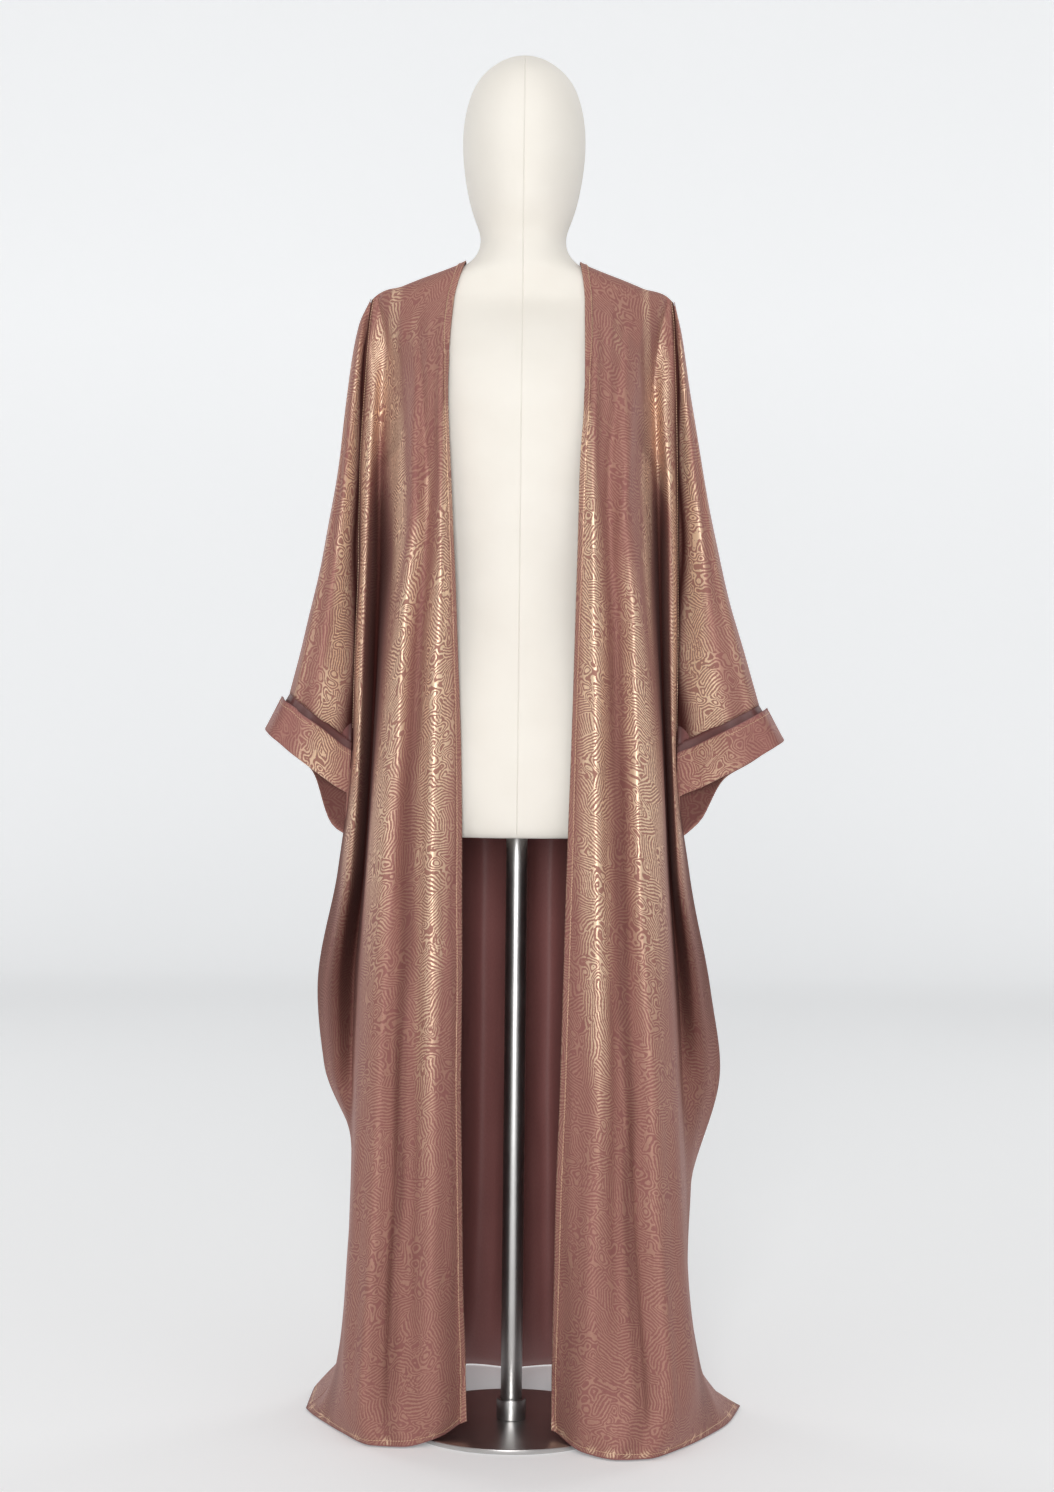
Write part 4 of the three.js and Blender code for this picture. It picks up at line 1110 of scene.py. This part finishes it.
# %% Cut out and hang the pieces
SIGN = {"front_right": 1, "front_left": -1, "back_panel": 1, "sleeve_right": 1, "sleeve_left": -1,
        "cuff_right": -1, "cuff_left": 1}
pieces = {}
cut = {}
for name in ("front_right", "front_left", "back_panel"):
    points_of[name] = with_creases(name, points_of[name], SIGN[name])
for name in ("sleeve_right", "sleeve_left"):
    points = points_of[name]
    normals = normals_of(points) * SIGN[name]
    fade = smooth(0, 12, np.arange(len(points)))[:, None] * np.ones(points.shape[1])
    points_of[name] = points + normals * (unevenness(points, 1.4) * fade)[..., None]
for k, (name, points) in enumerate(points_of.items()):
    closed = name.startswith("cuff")
    painted_glint, shade = paint[name]
    pieces[name], cut[name] = sheet(name, points, SIGN[name], painted_glint, shade, closed=closed,
                                    shift=(0.37 * k, 0.53 * k))
    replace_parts(pieces[name], name)

# %% [markdown]
# The front edges and the neck are finished with a narrow band, turned under and stitched
# down. It is made from the panel's own points beside the edge, moved out by the cloth's
# thickness, so it follows every fold.

# %% Narrow bands
BAND_LIFT = 1.0
BAND_CLOTH = 0.6
# Painted highlight across the band, brightest at its folded edge.
BAND_GLINT = np.array([1.6, 0.8, 0.7, 0.8, 1.3])  # across the band, brightest at its folded edge
BESIDE_EDGE = 40  # columns of a panel that hold more cloth than a band is wide
NECK_ROWS = 9
NECK_OVER = 4  # how far the neck band runs on past the side of the neck


def strip_beside_edge(points, normals):
    """The strip of a panel beside its first column, moved out."""
    near = points[:, :BESIDE_EDGE]
    lifted = near + normals[:, :BESIDE_EDGE] * BAND_LIFT
    at = np.linspace(-0.4, BAND_WIDTH, len(BAND_GLINT))
    strip = np.empty((len(points), len(at), 3))
    for i, length in enumerate(lengths(near, 1)):
        for axis in range(3):
            strip[i, :, axis] = np.interp(at, length, lifted[i, :, axis])
    return strip


BANDED = {"edge_band_right": "front_right", "edge_band_left": "front_left"}
for band, front in BANDED.items():
    normals = normals_of(points_of[front]) * SIGN[front]
    facing = np.where(normals[..., 1:2] > 0, -1, 1)
    points_of[band] = strip_beside_edge(points_of[front], normals * facing)
    SIGN[band] = SIGN[front]
    painted_glint = (0.85 * paint[front][0][:, :1] + 0.15) * BAND_GLINT
    paint[band] = (painted_glint, np.zeros(painted_glint.shape))
back = points_of["back_panel"]
at_neck = np.abs(back[0, :, 0]) < NECK_SIDE + NECK_OVER
neck_points = (back + normals_of(back) * BAND_LIFT)[:NECK_ROWS, at_neck]
points_of["neck_band"] = neck_points
SIGN["neck_band"] = 1
# The neck band gets an even painted highlight.
paint["neck_band"] = (np.full(neck_points.shape[:2], 0.3), np.zeros(neck_points.shape[:2]))
for k, name in enumerate(["edge_band_right", "edge_band_left", "neck_band"]):
    painted_glint, shade = paint[name]
    pieces[name], cut[name] = sheet(name, points_of[name], SIGN[name], painted_glint, shade,
                                    thickness=BAND_CLOTH, shift=(0.21 * k, 2.1))
    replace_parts(pieces[name], name)

# %% [markdown]
# A sewing machine leaves a row of short threads. Each stitch here is a small prism laid
# along a path on the cloth. The rows hold the bands, the hem, the cuffs and the armholes.

# %% Thread
def thread_material():
    m = Maker("rose_gold_thread")
    place = m.node("ShaderNodeTexCoord", output=3)
    twist = m.noise(place, 1 / (0.5 * MM), detail=1.0)
    return m.finish(bump=twist, strength=0.2, distance=0.0002,
                    Base_Color=m.blend(twist, (0.50, 0.30, 0.21, 1), (0.78, 0.54, 0.35, 1)),
                    Roughness=0.42, Metallic=0.25)


thread = thread_material()
STITCH = 2.4
STITCH_STEP = 3.4
THREAD_RADIUS = 0.42
ON_CLOTH = CLOTH / 2 + 0.15
ON_BAND = 0.45
SEARCHED = 30  # rows or columns looked through from an edge to find a stitched row's place


def stitches(name, paths):
    """Short prisms of thread along some paths of points in millimetres."""
    made = bmesh.new()
    count = 0
    for path in paths:
        length = lengths(path)
        at = np.arange(STITCH_STEP, length[-1] - STITCH_STEP, STITCH_STEP)
        start, end = (np.stack([np.interp(at + shift, length, path[:, k]) for k in range(3)], axis=1)
                      for shift in (-STITCH / 2, STITCH / 2))
        for a, b in zip(start, end):
            along = Vector(b - a)
            turn = along.to_track_quat("Z", "Y").to_matrix().to_4x4()
            bmesh.ops.create_cone(made, cap_ends=True, segments=5, radius1=THREAD_RADIUS * MM,
                                  radius2=THREAD_RADIUS * MM, depth=along.length * MM,
                                  matrix=Matrix.Translation(Vector((a + b) / 2 * MM)) @ turn)
            count += 1
    placed(name, mesh_from(made, name, smoothed=False), [thread], "satin")
    print(f"{name}: {count} stitches")


def outward(name, closed=False):
    return normals_of(points_of[name], closed=closed) * SIGN[name]


def from_edge(points, normals, distance):
    """A path lying on the cloth at a distance from the first row of its points."""
    near = points[:SEARCHED]
    length = lengths(near)
    lifted = near + normals[:SEARCHED] * ON_CLOTH
    return np.array([[np.interp(distance, length[:, j], lifted[:, j, k]) for k in range(3)]
                     for j in range(points.shape[1])])


# %% Stitched bands, hem, cuffs and armholes
PANELS = ("front_right", "front_left", "back_panel")
CUFFS = ("cuff_right", "cuff_left")
FROM_HEM = 7
FROM_CUFF_EDGE = 6
FROM_ARMHOLE = 5

band_paths = []
for band in BANDED:
    lifted = points_of[band] + outward(band) * ON_BAND
    band_paths.append(mix(lifted[:, 3], lifted[:, 4], 0.5))
band_paths.append((neck_points + outward("neck_band") * ON_BAND)[-2])
stitches("band_stitches", band_paths)

hem_paths = [from_edge(points_of[name][::-1], outward(name)[::-1], FROM_HEM) for name in PANELS]
stitches("hem_stitches", hem_paths)

cuff_paths = [from_edge(points_of[name][::-1], outward(name, True)[::-1], FROM_CUFF_EDGE) for name in CUFFS]
stitches("cuff_stitches", cuff_paths)

armhole_paths = []
for name, order in (("front_right", -1), ("front_left", -1), ("back_panel", -1), ("back_panel", 1)):
    columns = points_of[name].swapaxes(0, 1)[::order]
    path = from_edge(columns, outward(name).swapaxes(0, 1)[::order], FROM_ARMHOLE)
    armhole_paths.append(path[path[:, 2] > ARMHOLE_FOOT])
stitches("armhole_stitches", armhole_paths)

# %% [markdown]
# The stand: a form in cream jersey with a seam down its middle, and a steel post in a round
# steel base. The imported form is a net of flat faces, so a copy is smoothed by subdivision.

# %% Cream jersey
def jersey():
    m = Maker("cream_jersey")
    place = m.node("ShaderNodeTexCoord", output=3)
    knit = m.noise(m.scaled(place, (1.0, 1.0, 0.6)), 1 / (1.1 * MM), detail=2.0)
    cloud = m.noise(place, 1 / (60 * MM), detail=2.0)
    colour = m.blend(cloud, (0.80, 0.755, 0.68, 1), (0.86, 0.82, 0.75, 1))
    return m.finish(bump=knit, strength=0.25, distance=0.0004, Base_Color=colour,
                    Roughness=0.80 + (knit - 0.5) * 0.15, Sheen_Weight=0.2, Sheen_Roughness=0.5)


def steel(name):
    m = Maker(name)
    place = m.node("ShaderNodeTexCoord", output=3)
    marks = m.noise(m.scaled(place, (0.04, 0.04, 1.0)), 1 / (0.7 * MM), detail=3.0)
    smear = m.noise(place, 1 / (45 * MM), detail=3.0)
    return m.finish(bump=marks, strength=0.12, distance=0.0002,
                    Base_Color=m.blend(smear, (0.52, 0.51, 0.50, 1), (0.62, 0.61, 0.60, 1)),
                    Metallic=1.0, Roughness=0.27 + smear * 0.12)


cream = jersey()
brushed = steel("brushed_steel")

# %% The form
def smooth_copy(node, levels, material, slot):
    """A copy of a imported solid's mesh with its points merged, subdivided and smooth."""
    source = bpy.data.objects[node]
    made = bmesh.new()
    made.from_mesh(source.data)
    made.transform(source.matrix_world)
    bmesh.ops.remove_doubles(made, verts=made.verts, dist=0.01 * MM)
    bmesh.ops.join_triangles(made, faces=made.faces, angle_face_threshold=0.7,
                             angle_shape_threshold=3.1)
    piece = placed(node + "_jersey", mesh_from(made, node), [material], slot)
    finer = piece.modifiers.new("finer", "SUBSURF")
    finer.levels = levels
    finer.render_levels = levels
    return piece


form_piece = smooth_copy("form_body", 2, cream, "canvas")
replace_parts(form_piece, "form_body")

# %% Rolled edges, and the seam down the middle of the form
ROLL_RADIUS = 0.9
CUFF_ROLL_RADIUS = 0.72
SEAM_RADIUS = 0.7
SEAM_LEVELS = np.linspace(750, 1728, 240)


def tube_mesh(name, path, radius, material, sides, slot):
    """A thin tube along a path of points in millimetres, made from a curve."""
    data = bpy.data.curves.new(name, "CURVE")
    data.dimensions = "3D"
    spline = data.splines.new("POLY")
    spline.points.add(len(path) - 1)
    for point, place in zip(spline.points, path):
        point.co = (*[value * MM for value in place], 1.0)
    data.bevel_depth = radius * MM
    data.bevel_resolution = max(0, sides // 4 - 1)
    data.use_fill_caps = True
    carrier = bpy.data.objects.new(name + "_path", data)
    collection.objects.link(carrier)
    bpy.context.view_layer.update()
    evaluated = carrier.evaluated_get(bpy.context.evaluated_depsgraph_get())
    mesh = bpy.data.meshes.new_from_object(evaluated)
    bpy.data.objects.remove(carrier)
    mesh.materials.clear()
    for face in mesh.polygons:
        face.use_smooth = True
    return placed(name, mesh, [material], slot)


for name in PANELS:
    hem = points_of[name][-1] + (0, 0, ROLL_RADIUS / 2)
    tube_mesh("rolled_hem_" + name, hem, ROLL_RADIUS, cloth_inside, 8, "satin")
for name in CUFFS:
    ring = points_of[name][-1]
    ring = np.concatenate([ring, ring[:1]])
    tube_mesh("rolled_edge_" + name, ring, CUFF_ROLL_RADIUS, cloth_inside, 8, "satin")
bpy.context.view_layer.update()
skin = BVHTree.FromObject(form_piece, bpy.context.evaluated_depsgraph_get())
for face, name in ((-1, "form_seam_front"), (1, "form_seam_back")):
    path = []
    for z in SEAM_LEVELS:
        place = skin.ray_cast(Vector((0, face * 0.4, z * MM)), Vector((0, -face, 0)))[0]
        if place is not None:
            path.append((0, place.y / MM + face * 0.1, z))
    tube_mesh(name, path, SEAM_RADIUS, cream, 6, "canvas")

# %% [markdown]
# The base disc, the collar and the post are turned parts, so each is an outline spun round
# the upright axis, with its edges rounded by a bevel.

# %% Turned parts of the stand
POST_RADIUS = 13.5
COLLAR_RADIUS = 18.5
COLLAR_HEIGHT = 26
FOOT_RADIUS = 140
FOOT_THICKNESS = 6
FORM_BOTTOM = 745
TOUCH = 0.3


def turned(name, outline, edge, slices=128):
    """Spins an outline of radius and height in millimetres into a closed solid."""
    made = bmesh.new()
    line = [made.verts.new((r * MM, 0, z * MM)) for r, z in outline]
    edges = [made.edges.new(pair) for pair in zip(line, line[1:])]
    bmesh.ops.spin(made, geom=line + edges, cent=(0, 0, 0), axis=(0, 0, 1), angle=2 * math.pi,
                   steps=slices, use_merge=True)
    bmesh.ops.remove_doubles(made, verts=made.verts, dist=0.01 * MM)
    bmesh.ops.recalc_face_normals(made, faces=made.faces)
    sharp = [item for item in made.edges if item.is_manifold and item.calc_face_angle(0) > 0.6]
    bmesh.ops.bevel(made, geom=sharp, offset=edge * MM, segments=3, profile=0.5,
                    affect="EDGES", material=-1)
    return placed(name, mesh_from(made, name), [brushed], "steel")


low = FOOT_THICKNESS + TOUCH
disc = [(0, 0), (FOOT_RADIUS, 0), (FOOT_RADIUS, FOOT_THICKNESS), (0, FOOT_THICKNESS)]
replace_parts(turned("foot_disc", disc, 1.0), "stand_base")
bore, high = POST_RADIUS + TOUCH, low + COLLAR_HEIGHT
ring = [(bore, low), (COLLAR_RADIUS, low), (COLLAR_RADIUS, high), (bore, high), (bore, low)]
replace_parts(turned("post_collar", ring, 1.0, 64), "stand_collar")
high = FORM_BOTTOM - TOUCH
rod = [(0, low), (POST_RADIUS, low), (POST_RADIUS, high), (0, high)]
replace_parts(turned("post", rod, 0.6, 48), "stand_post")

# %% [markdown]
# A pale floor that curves up into a wall far behind gives the even studio ground of the
# photograph. A tall soft light stands beside the camera, where the folds that face it catch
# the gold, with one above and two weak ones behind at the sides. The world is seen brighter
# than it lights, so the ground is as pale from behind as it is from the front.

# %% Floor and backdrop
STAGE_HALF = 14.0
STAGE_BACK = 9.0
STAGE_FRONT = -9.0
STAGE_BEND = 3.0
STAGE_TOP = 12.0


def stage_material():
    """Pale floor with painted light: it glows by emission more and more away from the middle, like a lit
    studio ground.
    """
    m = Maker("pale_floor")
    place = m.node("ShaderNodeTexCoord", output=3)
    parts = m.node("ShaderNodeSeparateXYZ", i0=place)
    depth = Socket(m, parts.socket.node.outputs[1])
    across = Socket(m, parts.socket.node.outputs[0])
    away = m.maths("SQRT", across * across + depth * depth) / STAGE_BACK
    glow = m.ramp(away, [(0.0, 0.40), (0.55, 0.52), (0.97, 0.94)])
    tone = m.noise(place, 0.6, detail=1.0)
    return m.finish(Base_Color=m.blend(tone, (0.80, 0.80, 0.80, 1), (0.82, 0.82, 0.82, 1)),
                    Roughness=0.9, Emission_Strength=1.0,
                    Emission_Color=m.blend(glow, (0, 0, 0, 1), (0.50, 0.51, 0.52, 1)))


made = bmesh.new()
profile = [(STAGE_FRONT, 0.0), (STAGE_BACK - STAGE_BEND, 0.0)]
for k in range(1, 13):
    angle = math.pi / 2 * k / 12
    profile.append((STAGE_BACK - STAGE_BEND * (1 - math.sin(angle)), STAGE_BEND * (1 - math.cos(angle))))
profile.append((STAGE_BACK, STAGE_TOP))
line = [made.verts.new((-STAGE_HALF, y, z)) for y, z in profile]
edges = [made.edges.new(pair) for pair in zip(line, line[1:])]
grown = bmesh.ops.extrude_edge_only(made, edges=edges)["geom"]
bmesh.ops.translate(made, verts=[item for item in grown if isinstance(item, bmesh.types.BMVert)],
                    vec=(2 * STAGE_HALF, 0, 0))
bmesh.ops.recalc_face_normals(made, faces=made.faces)
floor = placed("studio_floor", mesh_from(made, "studio_floor"), [stage_material()])

# %% Lights
def soft_light(name, place, aim, width, height, watts):
    data = bpy.data.lights.new(name, "AREA")
    data.shape = "RECTANGLE"
    data.size = width
    data.size_y = height
    data.energy = watts
    lamp = bpy.data.objects.new(name, data)
    direction = Vector(aim) - Vector(place)
    lamp.location = place
    lamp.rotation_euler = direction.to_track_quat("-Z", "Y").to_euler()
    collection.objects.link(lamp)


soft_light("front_light", (-0.2, -4.3, 1.6), (0, 0, 1.15), 0.85, 2.7, 104)
soft_light("top_light", (0.0, -0.9, 4.4), (0, 0.3, 0.0), 3.0, 2.4, 34)
soft_light("rear_light_right", (-3.4, 2.6, 2.8), (0, 0, 0.8), 1.4, 2.4, 26)
soft_light("rear_light_left", (3.4, 2.6, 2.8), (0, 0, 0.8), 1.4, 2.4, 26)

WORLD_LIGHT = 0.28
WORLD_SEEN = 0.90
world = bpy.data.worlds.new("studio")
world.use_nodes = True
backdrop = world.node_tree.nodes["Background"]
backdrop.inputs["Color"].default_value = (0.94, 0.94, 0.945, 1)
light_path = world.node_tree.nodes.new("ShaderNodeLightPath")
strength = world.node_tree.nodes.new("ShaderNodeMapRange")
strength.inputs["To Min"].default_value = WORLD_LIGHT
strength.inputs["To Max"].default_value = WORLD_SEEN
world.node_tree.links.new(light_path.outputs["Is Camera Ray"], strength.inputs["Value"])
world.node_tree.links.new(strength.outputs["Result"], backdrop.inputs["Strength"])
bpy.context.scene.world = world
bpy.context.scene.view_settings.view_transform = "Standard"

# %% [markdown]
# Last, the neck band's cut length in the table of cut sizes is set to 10.5 mm.

NECK_BAND_CUT = 10.5
cut["neck_band"] = (cut["neck_band"][0], NECK_BAND_CUT * MM, cut["neck_band"][2])
